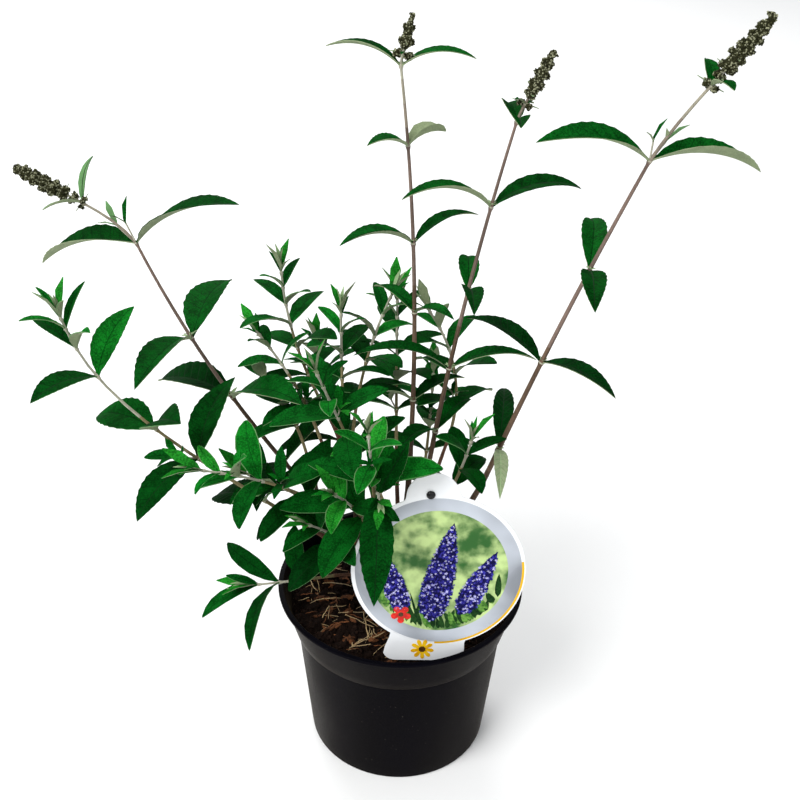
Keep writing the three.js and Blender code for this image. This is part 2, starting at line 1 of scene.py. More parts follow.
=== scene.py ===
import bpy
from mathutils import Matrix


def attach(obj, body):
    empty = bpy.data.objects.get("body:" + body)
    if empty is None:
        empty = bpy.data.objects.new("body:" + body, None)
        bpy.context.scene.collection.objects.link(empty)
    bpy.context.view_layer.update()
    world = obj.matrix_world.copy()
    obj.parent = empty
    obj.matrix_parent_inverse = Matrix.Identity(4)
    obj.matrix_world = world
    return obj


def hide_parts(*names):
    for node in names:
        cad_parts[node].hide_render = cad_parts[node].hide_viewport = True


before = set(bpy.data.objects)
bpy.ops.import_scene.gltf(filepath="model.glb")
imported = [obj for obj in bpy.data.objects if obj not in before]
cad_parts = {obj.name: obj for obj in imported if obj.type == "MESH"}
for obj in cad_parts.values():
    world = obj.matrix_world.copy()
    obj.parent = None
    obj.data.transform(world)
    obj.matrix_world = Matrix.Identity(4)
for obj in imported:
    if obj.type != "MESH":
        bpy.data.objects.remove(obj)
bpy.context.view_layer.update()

# A young butterfly bush in its black nursery pot. The bush grows by the same rule as its solids: stems that
# bend from heading to heading, pairs of leaves crosswise up them, and spikes of bud clusters. Sizes of the
# bush, the pot and the label are millimetres, as in the part's source, and every mesh is made in metres.

import math
from collections import namedtuple
from functools import lru_cache

import bpy
import numpy as np
from mathutils import Matrix, Vector, noise

bl_info = {
    "name": "Potted butterfly bush",
    "version": (1, 0, 0),
    "blender": (4, 5, 0),
    "location": "3D View > Sidebar > Bush",
    "description": "Makes a young butterfly bush in its nursery pot, with its plant label",
    "category": "Add Mesh",
}

MM = 0.001
UP = np.array([0.0, 0.0, 1.0])
BACK = np.array([0.0, 1.0, 0.0])

# ---- Sizes shared with the solids ----

POT = dict(
    height=145, rim=95, lip=2.4, band=35, band_foot=83.5, ledge=2, body=81, base=71, wall=1.8, floor=3,
    holes=8, hole=6, hole_ring=55,
)
COMPOST = dict(level=132, gap=0.3, lump=2.2, hollow=4, seat=16)
LABEL = dict(radius=62, thick=1.2, x=26, y=-63.5, z=207, lean_back=8)
CROWN = dict(radius=19, x=-5, y=59.5)
TAB = dict(radius=9, width=60, x=-9, y=-67)
STUD = dict(x=-7, y=62, radius=1.9, head=3.2, dome=2.2)
STAKE = dict(width=9, thick=2, depth=150, point=16, gap=0.3)
MAIN_STEM = dict(height=42, radius=6.4, flare=4.6, lobes=4, top=3.6, lean=7, bearing=60)

BLADE = dict(
    flowering=dict(width=0.34, fold=24, tip_out=45, lift=0.7),
    leafy=dict(width=0.41, fold=14, curl=46, out=62, tip_out=16, lift=0.2),
)
TURNS = (0, 22, -22, 44, -44)
LEAF_SAG = 0.4
LEAF_SKYWARD = 0.7
TWIG = dict(tip=0.9, tip_bud=4, axil_out=14, slimming=0.84)
SPIKE = dict(bud=4.5, spread=3.6, tip=0.6, per_whorl=2, whorl_step=6.6, twist=90)
SEEDS = dict(growth=4021, leaves=977, grass=313)

# The shoots in the order in which they grow: `foot` is how far along the main stem, or along the shoot that
# `on` names, each one starts, and `heads` are its bearing and lean at its foot, at its first leaves and at
# its tip. `pairs` has the turn and the length of each pair of leaves, one after each of the internodes, and
# `blade` has what differs from the usual leaf.
FLOWERING = [
    dict(name="left", foot=24, heads=((167, 58), (159, 45), (154, 28)), bare=104, radius=(3.3, 2.2),
         internodes=(19, 63, 54, 80), pairs=((44, 84), (134, 104), (80, 104), (153, 100)),
         blade=dict(out=68, curl=38), axil=34, neck=47, nod=(170, 65), top_leaf=34, spike=54),
    dict(name="middle", foot=40, heads=((76, 19), (83, 13), (187, 7)), bare=98, radius=(3.2, 2.1),
         internodes=(23, 68, 52, 70, 54), pairs=((30, 52), (134, 46), (31, 66), (25, 40), (171, 54)),
         blade=dict(out=49, curl=62), neck=8, nod=(5, 13), top_leaf=12, spike=28),
    dict(name="inner_right", foot=32, heads=((18, 17), (28, 9), (20, 15)), bare=92, radius=(3.2, 2.1),
         internodes=(23, 52, 60, 62, 59), pairs=((57, 56), (10, 72), (89, 54), (30, 79), (120, 40)),
         blade=dict(out=52, curl=62), neck=12, nod=(15, 27), top_leaf=20, spike=38),
    dict(name="right", foot=22, heads=((-4, 47), (-1, 18), (-22, 21)), bare=118, radius=(3.5, 2.3),
         internodes=(19, 79, 77, 85), pairs=((85, 72), (145, 63), (85, 62), (11, 73)),
         blade=dict(out=62, curl=52), axil=28, neck=57, nod=(-8, 35), top_leaf=24, spike=52),
]
LEAFY = [
    dict(name="over_label", foot=25, heads=((262, 32), (243, 24), (276, 86)), bare=118, radius=(2.4, 1.7),
         internodes=(26, 9), leaf=86, turn=90, blade=dict(width=0.31)),
    dict(name="low_left", foot=14, heads=((187, 54), (187, 49), (187, 12)), late=3, bare=106,
         radius=(3, 1.9), internodes=(25, 61, 38, 57, 25, 16, 8), leaf=70, turn=138),
    dict(name="low_front", foot=18, heads=((228, 36), (240, 26), (238, 46)), bare=78, leafy=72, nodes=4,
         leaf=56, turn=80),
    dict(name="front", foot=30, heads=((222, 40), (268, 28), (262, 22)), bare=80, leafy=116, nodes=5,
         leaf=50, turn=75),
    dict(name="low_inner", foot=11, heads=((212, 44), (220, 36), (222, 50)), bare=60, leafy=66, nodes=4,
         leaf=54, turn=30),
    dict(name="low_side", foot=10, heads=((168, 44), (174, 46), (186, 66)), bare=76, leafy=74, nodes=4,
         leaf=54, turn=60),
    dict(name="front_centre", on="low_left", foot=30, heads=((214, -14), (233, 25), (219, 22)), bare=88,
         leafy=116, nodes=6, leaf=50, turn=10),
    dict(name="front_left", on="low_left", foot=46, heads=((232, 8), (225, 40), (196, 72)), bare=60,
         leafy=114, nodes=6, leaf=50, turn=70),
    dict(name="low_front_left", foot=8, heads=((190, 57), (201, 83), (196, 85)), bare=58, leafy=58,
         nodes=3, leaf=70, turn=20),
    dict(name="upper_left", on="left", foot=44, heads=((90, 24), (146, 36), (120, 8)), bare=104,
         leafy=108, nodes=6, leaf=50, turn=50),
    dict(name="side_left", on="left", foot=62, heads=((148, 4), (140, 26), (158, 44)), bare=70, leafy=90,
         nodes=5, leaf=46, turn=0),
    dict(name="mid_left", on="left", foot=83, heads=((165, 12), (142, 19), (161, 48)), bare=44,
         radius=(2, 1.4), leafy=74, nodes=5, leaf=46, turn=35),
    dict(name="centre_left", foot=33, heads=((172, 48), (100, 20), (91, 12)), bare=106, leafy=98, nodes=5,
         leaf=48, turn=54),
    dict(name="centre_back", on="left", foot=26, heads=((150, 30), (74, 20), (41, 33)), bare=98,
         leafy=104, nodes=5, leaf=50, turn=30),
    dict(name="back_right", foot=26, heads=((58, 40), (45, 26), (147, 44)), bare=104, leafy=104, nodes=5,
         leaf=48, turn=45),
    dict(name="front_right", foot=12, heads=((-24, 18), (-10, 24), (-21, 12)), bare=84, leafy=64, nodes=4,
         leaf=48, turn=15),
    dict(name="back", foot=28, heads=((98, 44), (92, 30), (90, 18)), bare=92, leafy=112, nodes=6, leaf=54,
         turn=25),
    dict(name="back_left", foot=16, heads=((128, 56), (124, 40), (120, 22)), bare=90, leafy=104, nodes=6,
         leaf=54, turn=75),
    dict(name="right_back", foot=14, heads=((70, 56), (78, 38), (84, 24)), bare=80, leafy=84, nodes=5,
         leaf=50, turn=5),
]


# ---- Small helpers ----

def paint(code):
    """A web colour as the linear red, green and blue that materials take."""
    channels = [int(code[i:i + 2], 16) / 255 for i in (1, 3, 5)]
    return tuple(c / 12.92 if c <= 0.04045 else ((c + 0.055) / 1.055) ** 2.4 for c in channels)


def mix(low, high, part):
    return low + (high - low) * part


def smoothstep(value, low, high):
    part = np.clip((value - low) / (high - low), 0, 1)
    return part * part * (3 - 2 * part)


def unit(vector):
    return vector / np.linalg.norm(vector)


def unit_rows(vectors):
    return vectors / np.linalg.norm(vectors, axis=1)[:, None]


def seeded_draws(seed):
    """The source's own draws between 0 and 1, so that lengths and sizes come out the same here."""
    state = seed
    while True:
        state = (state * 1664525 + 1013904223) % 2**32
        yield state / 2**32


def lump_at(x, y, z, size, octaves=2):
    """Soft irregular relief between about -1 and 1, with features about `size` across."""
    return noise.fractal(Vector((x, y, z)) / size, 1.0, 2.0, octaves)


# ---- Meshes ----

# Faces that meet at less than this many degrees are shaded as one smooth surface.
SMOOTH_BELOW = 50


def smoothed(mesh, sharp_angle=SMOOTH_BELOW):
    mesh.polygons.foreach_set("use_smooth", [True] * len(mesh.polygons))
    mesh.set_sharp_from_angle(angle=math.radians(sharp_angle))


class Joined:
    """Closed shapes gathered into one mesh. Corners are in millimetres, and coats number its materials."""

    def __init__(self, corners=(), faces=(), coats=0):
        self.corners = []
        self.faces = []
        self.coats = []
        self.count = 0
        if faces:
            self.add(corners, faces, coats)

    def add(self, corners, faces, coats=0):
        self.corners.append(np.asarray(corners, float))
        self.faces += [tuple(corner + self.count for corner in face) for face in faces]
        self.coats += coats if hasattr(coats, "__len__") else [coats] * len(faces)
        self.count += len(corners)

    def piece(self, name, materials=(), sharp_angle=SMOOTH_BELOW):
        mesh = bpy.data.meshes.new(name)
        mesh.from_pydata((np.concatenate(self.corners) * MM).tolist(), [], self.faces)
        for material in materials:
            mesh.materials.append(material)
        mesh.polygons.foreach_set("material_index", self.coats)
        smoothed(mesh, sharp_angle)
        mesh.update()
        return linked(name, mesh)


def linked(name, data):
    piece = bpy.data.objects.new(name, data)
    bpy.context.scene.collection.objects.link(piece)
    return piece


def drop(*pieces):
    """Removes helper objects that were only needed to shape a piece."""
    for piece in pieces:
        mesh = piece.data
        bpy.data.objects.remove(piece)
        if mesh.users == 0:
            bpy.data.meshes.remove(mesh)


def applied(piece, modifier):
    """The plain mesh that a modifier makes of a piece, which loses the modifier."""
    evaluated = piece.evaluated_get(bpy.context.evaluated_depsgraph_get())
    mesh = bpy.data.meshes.new_from_object(evaluated)
    piece.modifiers.remove(modifier)
    return mesh


def settled(piece, slot, *nodes):
    """Puts a finished piece on the bush's body, in place of the solids it stands for."""
    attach(piece, "root")
    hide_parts(*nodes)


def ring_faces(rings, around, foot_cap=True, top_cap=True):
    """The faces of a closed tube whose rings run anticlockwise when seen from its far end."""
    faces = []
    for near in range(0, (rings - 1) * around, around):
        for k in range(around):
            beside = near + (k + 1) % around
            faces.append((near + k, beside, beside + around, near + k + around))
    if foot_cap:
        faces.append(tuple(reversed(range(around))))
    if top_cap:
        faces.append(tuple(range((rings - 1) * around, rings * around)))
    return faces


def mound_faces(rings, around, middle, first, foot):
    """The faces of a closed body whose rings run from its top's middle outwards and down to its foot."""
    faces = [(middle, first + k, first + (k + 1) % around) for k in range(around)]
    last = first + (rings - 1) * around
    for near in range(first, last, around):
        for k in range(around):
            beside = near + (k + 1) % around
            faces.append((near + k, near + k + around, beside + around, beside))
    return faces + [(foot, last + (k + 1) % around, last + k) for k in range(around)]


def lathe(profile, sides):
    """Corners and faces of a closed profile of [radius, height], from the axis back to it, turned round Z."""
    inner = profile[1:-1]
    angles = np.arange(sides) * 2 * math.pi / sides
    rings = [
        np.stack([radius * np.cos(angles), radius * np.sin(angles), np.full(sides, float(height))], 1)
        for radius, height in inner
    ]
    corners = np.concatenate([*rings, [[0, 0, profile[0][1]]], [[0, 0, profile[-1][1]]]])
    faces = ring_faces(len(inner), sides, False, False)
    foot = len(inner) * sides
    last = foot - sides
    for k in range(sides):
        faces.append((foot, (k + 1) % sides, k))
        faces.append((foot + 1, last + k, last + (k + 1) % sides))
    return corners, faces


def on_circle(radius, turn, height=0.0):
    return radius * math.cos(turn), radius * math.sin(turn), height


def arc(centre_x, centre_y, radius, start, end, steps):
    """Points on a circle's arc, for rounding a profile or an outline. Angles are degrees."""
    turns = np.radians(np.linspace(start, end, steps))
    return [(centre_x + radius * math.cos(t), centre_y + radius * math.sin(t)) for t in turns]


# ---- Node trees ----

def feed(tree, node, feeds):
    """Gives each of a node's inputs a plain value, or another node's output."""
    for name, value in feeds.items():
        if isinstance(value, bpy.types.NodeSocket):
            tree.links.new(value, node.inputs[name])
        else:
            node.inputs[name].default_value = value


def add_node(tree, kind, feeds=None, **settings):
    node = tree.nodes.new(kind)
    for name, value in settings.items():
        setattr(node, name, value)
    feed(tree, node, feeds or {})
    return node


def new_tree(name, kind, inputs, outputs):
    """A tree with named sockets by their kind: the tree, what it is given and the node for its results."""
    tree = bpy.data.node_groups.new(name, kind)
    for in_out, sockets in (("INPUT", inputs), ("OUTPUT", outputs)):
        for socket_kind, names in sockets.items():
            for socket in names:
                tree.interface.new_socket(socket, in_out=in_out, socket_type=f"NodeSocket{socket_kind}")
    return tree, add_node(tree, "NodeGroupInput").outputs, add_node(tree, "NodeGroupOutput")


@lru_cache
def scatter_tree():
    """A tree that strews copies of a shape over a surface, tilted, turned and sized at random."""
    tree, given, result = new_tree("strewn_over_surface", "GeometryNodeTree", {
        "Geometry": ("Surface",), "Object": ("Shape",), "Material": ("Finish",), "Int": ("Seed",),
        "Float": ("Pieces per square metre", "Smallest", "Largest", "Tilt", "Spin", "Lift"),
    }, {"Geometry": ("Pieces",)})

    def maths(operation, first, second):
        return add_node(tree, "ShaderNodeMath", {0: first, 1: second}, operation=operation).outputs[0]

    def drawn(offset, low, high):
        seed = maths("ADD", given["Seed"], offset)
        return add_node(tree, "FunctionNodeRandomValue", {2: low, 3: high, "Seed": seed},
                        data_type="FLOAT").outputs[1]

    def turned(rotation, angles):
        by = add_node(tree, "ShaderNodeCombineXYZ", angles).outputs[0]
        return add_node(tree, "FunctionNodeRotateRotation", {"Rotation": rotation, "Rotate By": by},
                        rotation_space="LOCAL").outputs[0]

    back_tilt, back_spin = (maths("MULTIPLY", given[name], -1) for name in ("Tilt", "Spin"))
    tilt = {"X": drawn(11, back_tilt, given["Tilt"]), "Y": drawn(23, back_tilt, given["Tilt"])}
    spin = {"Z": drawn(37, back_spin, given["Spin"])}
    points = add_node(tree, "GeometryNodeDistributePointsOnFaces", {
        "Mesh": given["Surface"], "Density": given["Pieces per square metre"], "Seed": given["Seed"]}).outputs
    shape = add_node(tree, "GeometryNodeObjectInfo", {"Object": given["Shape"], "As Instance": True}).outputs
    lift = add_node(tree, "ShaderNodeVectorMath", {0: points["Normal"], "Scale": given["Lift"]},
                    operation="SCALE").outputs[0]
    raised = add_node(tree, "GeometryNodeSetPosition", {"Geometry": points["Points"], "Offset": lift})
    copies = add_node(tree, "GeometryNodeInstanceOnPoints", {
        "Points": raised.outputs[0],
        "Instance": shape["Geometry"],
        "Rotation": turned(turned(points["Rotation"], tilt), spin),
        "Scale": drawn(0, given["Smallest"], given["Largest"]),
    })
    real = add_node(tree, "GeometryNodeRealizeInstances", {0: copies.outputs[0]})
    finish = add_node(tree, "GeometryNodeSetMaterial", {
        "Geometry": real.outputs[0], "Material": given["Finish"]})
    feed(tree, result, {0: finish.outputs[0]})
    return tree


def strewn(name, surface, shape, finish, density, seed, sizes, tilt, lift=0):
    """A plain mesh of copies of `shape` strewn over `surface`, by the tree above."""
    tree = scatter_tree()
    values = {
        "Shape": shape,
        "Finish": finish,
        "Pieces per square metre": float(density),
        "Seed": seed,
        "Smallest": float(sizes[0]),
        "Largest": float(sizes[1]),
        "Tilt": float(tilt),
        "Spin": math.pi,
        "Lift": lift * MM,
    }
    modifier = surface.modifiers.new("strewn", "NODES")
    modifier.node_group = tree
    for item in tree.interface.items_tree:
        if item.in_out == "INPUT" and item.name in values:
            modifier[item.identifier] = values[item.name]
    mesh = applied(surface, modifier)
    mesh.name = name
    smoothed(mesh)
    return linked(name, mesh)


# ---- Finishes ----

def mixed(tree, part, low, high, kind="FLOAT"):
    """A node's output that goes from one number or colour to another."""
    first, out = {"FLOAT": (2, 0), "RGBA": (6, 2)}[kind]
    node = add_node(tree, "ShaderNodeMix", {0: part, first: low, first + 1: high}, data_type=kind)
    return node.outputs[out]


@lru_cache
def mottle_group():
    """Colour that wanders between two shades in broad patches and in a finer grain, with its relief."""
    group, given, result = new_tree("mottle", "ShaderNodeTree", {
        "Color": ("Dark", "Light"),
        "Float": ("Patch scale", "Grain scale", "Grain share", "Smoothest", "Roughest"),
        "Vector": ("Stretch",),
    }, {"Color": ("Colour",), "Float": ("Roughness", "Height")})
    place = add_node(group, "ShaderNodeTexCoord").outputs["Object"]
    stretched = add_node(group, "ShaderNodeVectorMath", {0: place, 1: given["Stretch"]}, operation="MULTIPLY")
    patches, grain = (
        add_node(group, "ShaderNodeTexNoise", {
            "Vector": stretched.outputs[0], "Scale": given[scale], "Detail": detail}).outputs[0]
        for scale, detail in (("Patch scale", 2), ("Grain scale", 3))
    )
    spread = add_node(group, "ShaderNodeMapRange", {
        "Value": mixed(group, given["Grain share"], patches, grain), "From Min": 0.36, "From Max": 0.64,
    }, interpolation_type="SMOOTHSTEP").outputs[0]
    feed(group, result, {
        "Colour": mixed(group, spread, given["Dark"], given["Light"], "RGBA"),
        "Roughness": mixed(group, spread, given["Smoothest"], given["Roughest"]),
        "Height": grain,
    })
    return group


@lru_cache
def specks_group():
    """Sparse small specks of a second colour over a first."""
    group, given, result = new_tree("specks", "ShaderNodeTree", {
        "Color": ("Under", "Speck"), "Float": ("Speck scale", "Sparseness"),
    }, {"Color": ("Colour",)})
    place = add_node(group, "ShaderNodeTexCoord").outputs["Object"]
    cells = add_node(group, "ShaderNodeTexNoise", {
        "Vector": place, "Scale": given["Speck scale"], "Detail": 1})
    edge = add_node(group, "ShaderNodeMath", {0: given["Sparseness"], 1: 0.05}, operation="ADD")
    mask = add_node(group, "ShaderNodeMapRange", {
        "Value": cells.outputs[0], "From Min": given["Sparseness"], "From Max": edge.outputs[0]}).outputs[0]
    feed(group, result, {"Colour": mixed(group, mask, given["Under"], given["Speck"], "RGBA")})
    return group


def opaque(colour):
    return (*colour[:3], 1.0)


def shaded(colour, factor):
    return tuple(min(1.0, channel * factor) for channel in colour[:3])


def mottled(name, dark, light, *, patch, grain, share, rough, relief=0.0, stretch=(1, 1, 1), **sockets):
    """A finish in the mottle. The sizes `patch` and `grain` and the depth `relief` are millimetres, `share`
    is how much the grain counts beside the patches, and `rough` has the roughness of the two shades."""
    material = bpy.data.materials.new(name)
    material.use_nodes = True
    tree = material.node_tree
    mottle = add_node(tree, "ShaderNodeGroup", {
        "Dark": opaque(dark),
        "Light": opaque(light),
        "Patch scale": 1 / (patch * MM),
        "Grain scale": 1 / (grain * MM),
        "Grain share": share,
        "Smoothest": rough[0],
        "Roughest": rough[1],
        "Stretch": stretch,
    }, node_tree=mottle_group()).outputs
    feeds = {"Base Color": mottle["Colour"], "Roughness": mottle["Roughness"]}
    if relief:
        bump = add_node(tree, "ShaderNodeBump", {"Distance": relief * MM, "Height": mottle["Height"]})
        feeds["Normal"] = bump.outputs[0]
    for socket, value in sockets.items():
        feeds[socket.replace("_", " ")] = value
    feed(tree, tree.nodes["Principled BSDF"], feeds)
    return material


def tinted(name, colour, darkest, lightest, **look):
    """A mottled finish between two shades of one colour, which `darkest` and `lightest` make of it."""
    return mottled(name, shaded(colour, darkest), shaded(colour, lightest), **look)


def speckled(material, speck, size, sparseness):
    """Adds sparse specks, `size` millimetres apart, to a mottled finish."""
    tree = material.node_tree
    shader = tree.nodes["Principled BSDF"]
    specks = add_node(tree, "ShaderNodeGroup", {
        "Under": shader.inputs["Base Color"].links[0].from_socket,
        "Speck": opaque(speck),
        "Speck scale": 1 / (size * MM),
        "Sparseness": sparseness,
    }, node_tree=specks_group())
    feed(tree, shader, {"Base Color": specks.outputs["Colour"]})


# How shiny finishes are: moist earth, bark, printed ink and the label's coated card.
DULL = dict(Specular_IOR_Level=0.05)
SATIN = dict(Specular_IOR_Level=0.1)
INK = dict(Specular_IOR_Level=0.04)
COATED = dict(Specular_IOR_Level=0.2, Coat_Weight=0.12, Coat_Roughness=0.2)
# Bark is satin and mottled lengthwise, young bark is also finer and smoother, and felt has a soft sheen.
BARK = dict(stretch=(1, 1, 0.3), **SATIN)
YOUNG_BARK = dict(grain=0.9, rough=(0.6, 0.78), **BARK)
FELTED = dict(Sheen_Weight=0.3)


# ---- The bush's rule ----

def heading(bearing, lean):
    out = math.sin(math.radians(lean))
    turn = math.radians(bearing)
    return np.array([out * math.cos(turn), out * math.sin(turn), math.cos(math.radians(lean))])


def across_stem(way):
    """The two directions across a stem: from the bush's left to its right, and from its front to its back."""
    side = unit(np.cross(BACK, way))
    return side, np.cross(way, side)


def round_axis(side, above, turn):
    return side * math.cos(turn) + above * math.sin(turn)


def bearing_and_lean(way):
    return math.degrees(math.atan2(way[1], way[0])), math.degrees(math.acos(np.clip(way[2], -1, 1)))


# How far to each side a stem's direction is taken, where it has to turn smoothly, in millimetres.
SMOOTH_REACH = 3.0


class StemLine:
    """A stem's centre line, which turns from one heading to the next over each of its stretches."""

    def __init__(self, foot):
        self.points = [np.array(foot, float)]
        self.lengths = [0.0]

    def grow(self, start, end, length, late=1, steps=12):
        first, last = heading(*start), heading(*end)
        for i in range(steps):
            way = unit(first + (last - first) * ((i + 0.5) / steps) ** late)
            self.points.append(self.points[-1] + way * length / steps)
            self.lengths.append(self.lengths[-1] + length / steps)
        return self

    @property
    def length(self):
        return self.lengths[-1]

    def segment(self, distance):
        for i, length in enumerate(self.lengths):
            if length > distance:
                return max(i - 1, 0)
        return len(self.lengths) - 2

    def at(self, distance):
        i = self.segment(distance)
        part = (distance - self.lengths[i]) / (self.lengths[i + 1] - self.lengths[i])
        return self.points[i] + (self.points[i + 1] - self.points[i]) * part

    def way(self, distance):
        i = self.segment(distance)
        return unit(self.points[i + 1] - self.points[i])

    def smooth_way(self, distance):
        return unit(self.at(distance + SMOOTH_REACH) - self.at(distance - SMOOTH_REACH))

    def leaf_run(self, distance, blade, turn, sign, out, length):
        return LeafRun(self.at(distance), self.way(distance), blade, turn, sign, out, length)


# How far up its shoot the pair in a topmost axil counts as: past the last pair of leaves, which is 1.
AXIL_PART = 1.1


class Shoot:
    """One shoot: its stem line, where its pairs of leaves sit, and how long and how steep they are."""

    def __init__(self, given, order, parent_line):
        self.name = given["name"]
        self.flowering = "spike" in given
        self.spike = given.get("spike", 0)
        self.bare = given["bare"]
        self.foot_radius, self.bud_radius = given.get("radius", (2.5, 1.5))
        self.blade = {**BLADE["flowering" if self.flowering else "leafy"], **given.get("blade", {})}
        self.seed = 101 + 17 * order
        internodes = given.get("internodes") or drawing_closer(given["leafy"], given["nodes"])
        at_foot, at_leaves, at_tip = given["heads"]
        self.line = StemLine(parent_line.at(given["foot"])).grow(at_foot, at_leaves, self.bare)
        self.line.grow(at_leaves, at_tip, sum(internodes), given.get("late", 1))
        if self.flowering:
            self.line.grow(at_tip, given["nod"], given["neck"], 0.4, 4)
            self.line.grow(given["nod"], given["nod"], self.spike, 1, 4)
        else:
            self.line.grow(at_tip, at_tip, TWIG["tip_bud"], 1, 1)
        self.nodes = []
        distance = self.bare
        for i, internode in enumerate(internodes):
            distance += internode
            part = (i + 1) / len(internodes)
            if self.flowering:
                (turn, leaf), steeper = given["pairs"][i], 0
            else:
                turn, leaf, steeper = given["turn"] + 90 * i, given["leaf"] * leafy_size(part), part**2
            self.add_node(distance, turn, part, leaf, mix(self.blade["out"], self.blade["tip_out"], steeper))
        self.last_pair = distance
        if self.flowering:
            turn = given["pairs"][-1][0] + 90
            if "axil" in given:
                self.add_node(distance, turn, AXIL_PART, given["axil"], TWIG["axil_out"])
            self.add_node(distance + given["neck"], turn, 1.2, given["top_leaf"], self.blade["tip_out"])

    def add_node(self, distance, turn, part, leaf, out):
        self.nodes.append(dict(distance=distance, turn=turn, part=part, leaf=leaf, out=out))

    def radius(self, distance):
        if distance <= self.bare:
            return mix(self.foot_radius, self.bud_radius, distance / self.bare)
        part = (distance - self.bare) / (self.line.length - self.bare)
        return mix(self.bud_radius, TWIG["tip"], part)


def drawing_closer(length, count):
    steps = [TWIG["slimming"] ** i for i in range(count)]
    return [step * length / sum(steps) for step in steps]


def leafy_size(part):
    return mix(0.86 + 0.14 * math.sin(math.pi * min(1, 1.5 * part)), 0.36, part**3)


class LeafRun:
    """How a leaf runs: it starts at `out` degrees from near the stem's way, curls away from it and sags."""

    def __init__(self, root, stem_way, blade, angle, sign, out, length):
        way = unit(stem_way + UP * blade["lift"])
        self.outward = sign * round_axis(*across_stem(way), math.radians(angle))
        self.start = way * math.cos(math.radians(out)) + self.outward * math.sin(math.radians(out))
        pull = -way - UP * LEAF_SAG
        self.bend_way = unit(pull - self.start * (pull @ self.start))
        self.across = unit(np.cross(self.start, way + UP * LEAF_SKYWARD))
        self.root = root
        self.bend = math.radians(blade["curl"])
        self.fold = math.radians(blade["fold"])
        self.length = length
        self.half_width = length * blade["width"] / 2
        self.twist = 0.0
        self.sway = 0.0

    def points(self, parts, across, lift):
        """Points at shares of the length, at millimetres across the blade and above it."""
        angle = self.bend * parts
        way = np.outer(np.cos(angle), self.start) + np.outer(np.sin(angle), self.bend_way)
        wide = unit_rows(self.across - way * (way @ self.across)[:, None])
        above = np.cross(wide, way)
        turn = self.twist * parts
        sine, cosine = np.sin(turn)[:, None], np.cos(turn)[:, None]
        wide, above = wide * cosine + above * sine, above * cosine - wide * sine
        reach = self.length / self.bend
        spine = self.root + np.outer(reach * np.sin(angle), self.start)
        spine = spine + np.outer(reach * (1 - np.cos(angle)), self.bend_way)
        aside = across * math.cos(self.fold) + self.sway * self.length * parts**2 * (1 - parts)
        raised = np.abs(across) * math.sin(self.fold) + lift
        return spine + wide * aside[:, None] + above * raised[:, None]

    def tip(self):
        return self.points(np.array([1.0]), np.zeros(1), np.zeros(1))[0]


# A leaf of the solids: its run, where it sits, which of its pair it is, and its turn away from a limb.
Leaf = namedtuple("Leaf", "run shoot node sign turn")
# How near a leaf's tip is to a corner of its solid, in millimetres.
SAME_TIP = 0.5


def solid_points(node):
    """The corners of a solid, in millimetres."""
    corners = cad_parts[node].data.vertices
    points = np.zeros(len(corners) * 3)
    corners.foreach_get("co", points)
    return points.reshape(-1, 3) / MM


def pair_of_leaves(shoot, node, draws, tips):
    """A node's leaves, turned as they are in the shoot's solid, whose corners include every leaf's tip."""
    leaves = []
    for sign in (1, -1):
        length = node["leaf"] * mix(0.9, 1.1, next(draws))
        for turn in TURNS:
            run = shoot.line.leaf_run(node["distance"], shoot.blade, node["turn"] + turn, sign, node["out"],
                                      length)
            if np.linalg.norm(tips - run.tip(), axis=1).min() < SAME_TIP:
                leaves.append(Leaf(run, shoot, node, sign, turn))
                break
    return leaves


Bush = namedtuple("Bush", "main_line shoots leaves")


@lru_cache
def bush():
    """Every shoot, and every leaf that the solids have."""
    main_line = StemLine((0, 0, COMPOST["level"])).grow(
        (MAIN_STEM["bearing"], 0), (MAIN_STEM["bearing"], MAIN_STEM["lean"]), MAIN_STEM["height"])
    shoots = []
    for given in FLOWERING + LEAFY:
        parents = [shoot.line for shoot in shoots if shoot.name == given.get("on")]
        shoots.append(Shoot(given, len(shoots), parents[0] if parents else main_line))
    leaves = []
    for shoot in shoots:
        draws = seeded_draws(shoot.seed)
        tips = solid_points(f"leaves_{shoot.name}")
        for node in shoot.nodes:
            leaves += pair_of_leaves(shoot, node, draws, tips)
    return Bush(main_line, shoots, leaves)


def mass_nodes(flowering_only=False):
    """The names of the leafy masses that a piece stands for."""
    return [f"leaves_{shoot.name}" for shoot in bush().shoots if shoot.flowering or not flowering_only]


# ---- Stems ----

def stations_through(start, stops, end, step):
    """Distances along a stem, with a few close together round each of the nodes in `stops`."""
    marks = set(np.linspace(start, end, max(3, round((end - start) / step))).round(2))
    for stop in stops:
        for i in (-3, -1, 0, 1, 3):
            marks.add(round(stop + i * 0.9, 2))
    marks = sorted(mark for mark in marks if start <= mark <= end)
    kept = [marks[0]]
    for mark in marks[1:]:
        if mark - kept[-1] > 0.3:
            kept.append(mark)
    return kept


def stem_tube(joined, line, stations, radii_at, sides, coat_at):
    """A closed tube along a stem line. `radii_at` gives a ring's radii from its distance and its angles."""
    angles = np.arange(sides) * 2 * math.pi / sides
    side = None
    rings = []
    for distance in stations:
        way = line.smooth_way(distance)
        side = across_stem(way)[0] if side is None else unit(side - way * (side @ way))
        radii = radii_at(distance, angles)
        rings.append(line.at(distance) + np.outer(np.cos(angles) * radii, side)
                     + np.outer(np.sin(angles) * radii, np.cross(way, side)))
    coats = [coat_at(distance) for distance in stations[:-1] for _ in angles]
    coats += [coat_at(stations[0]), coat_at(stations[-1])]
    joined.add(np.concatenate(rings), ring_faces(len(stations), sides), coats)


# How thick the stems are, as a share of the solids' radii.
SLIMMER = 0.84


def swelling(distance, stops, width, height):
    """How much a stem swells at its nodes."""
    return sum(height * math.exp(-(((distance - stop) / width) ** 2)) for stop in stops)


def old_nodes(shoot):
    """Where a bare bough's old leaves sat."""
    return [shoot.bare * part for part in (0.36, 0.7)]


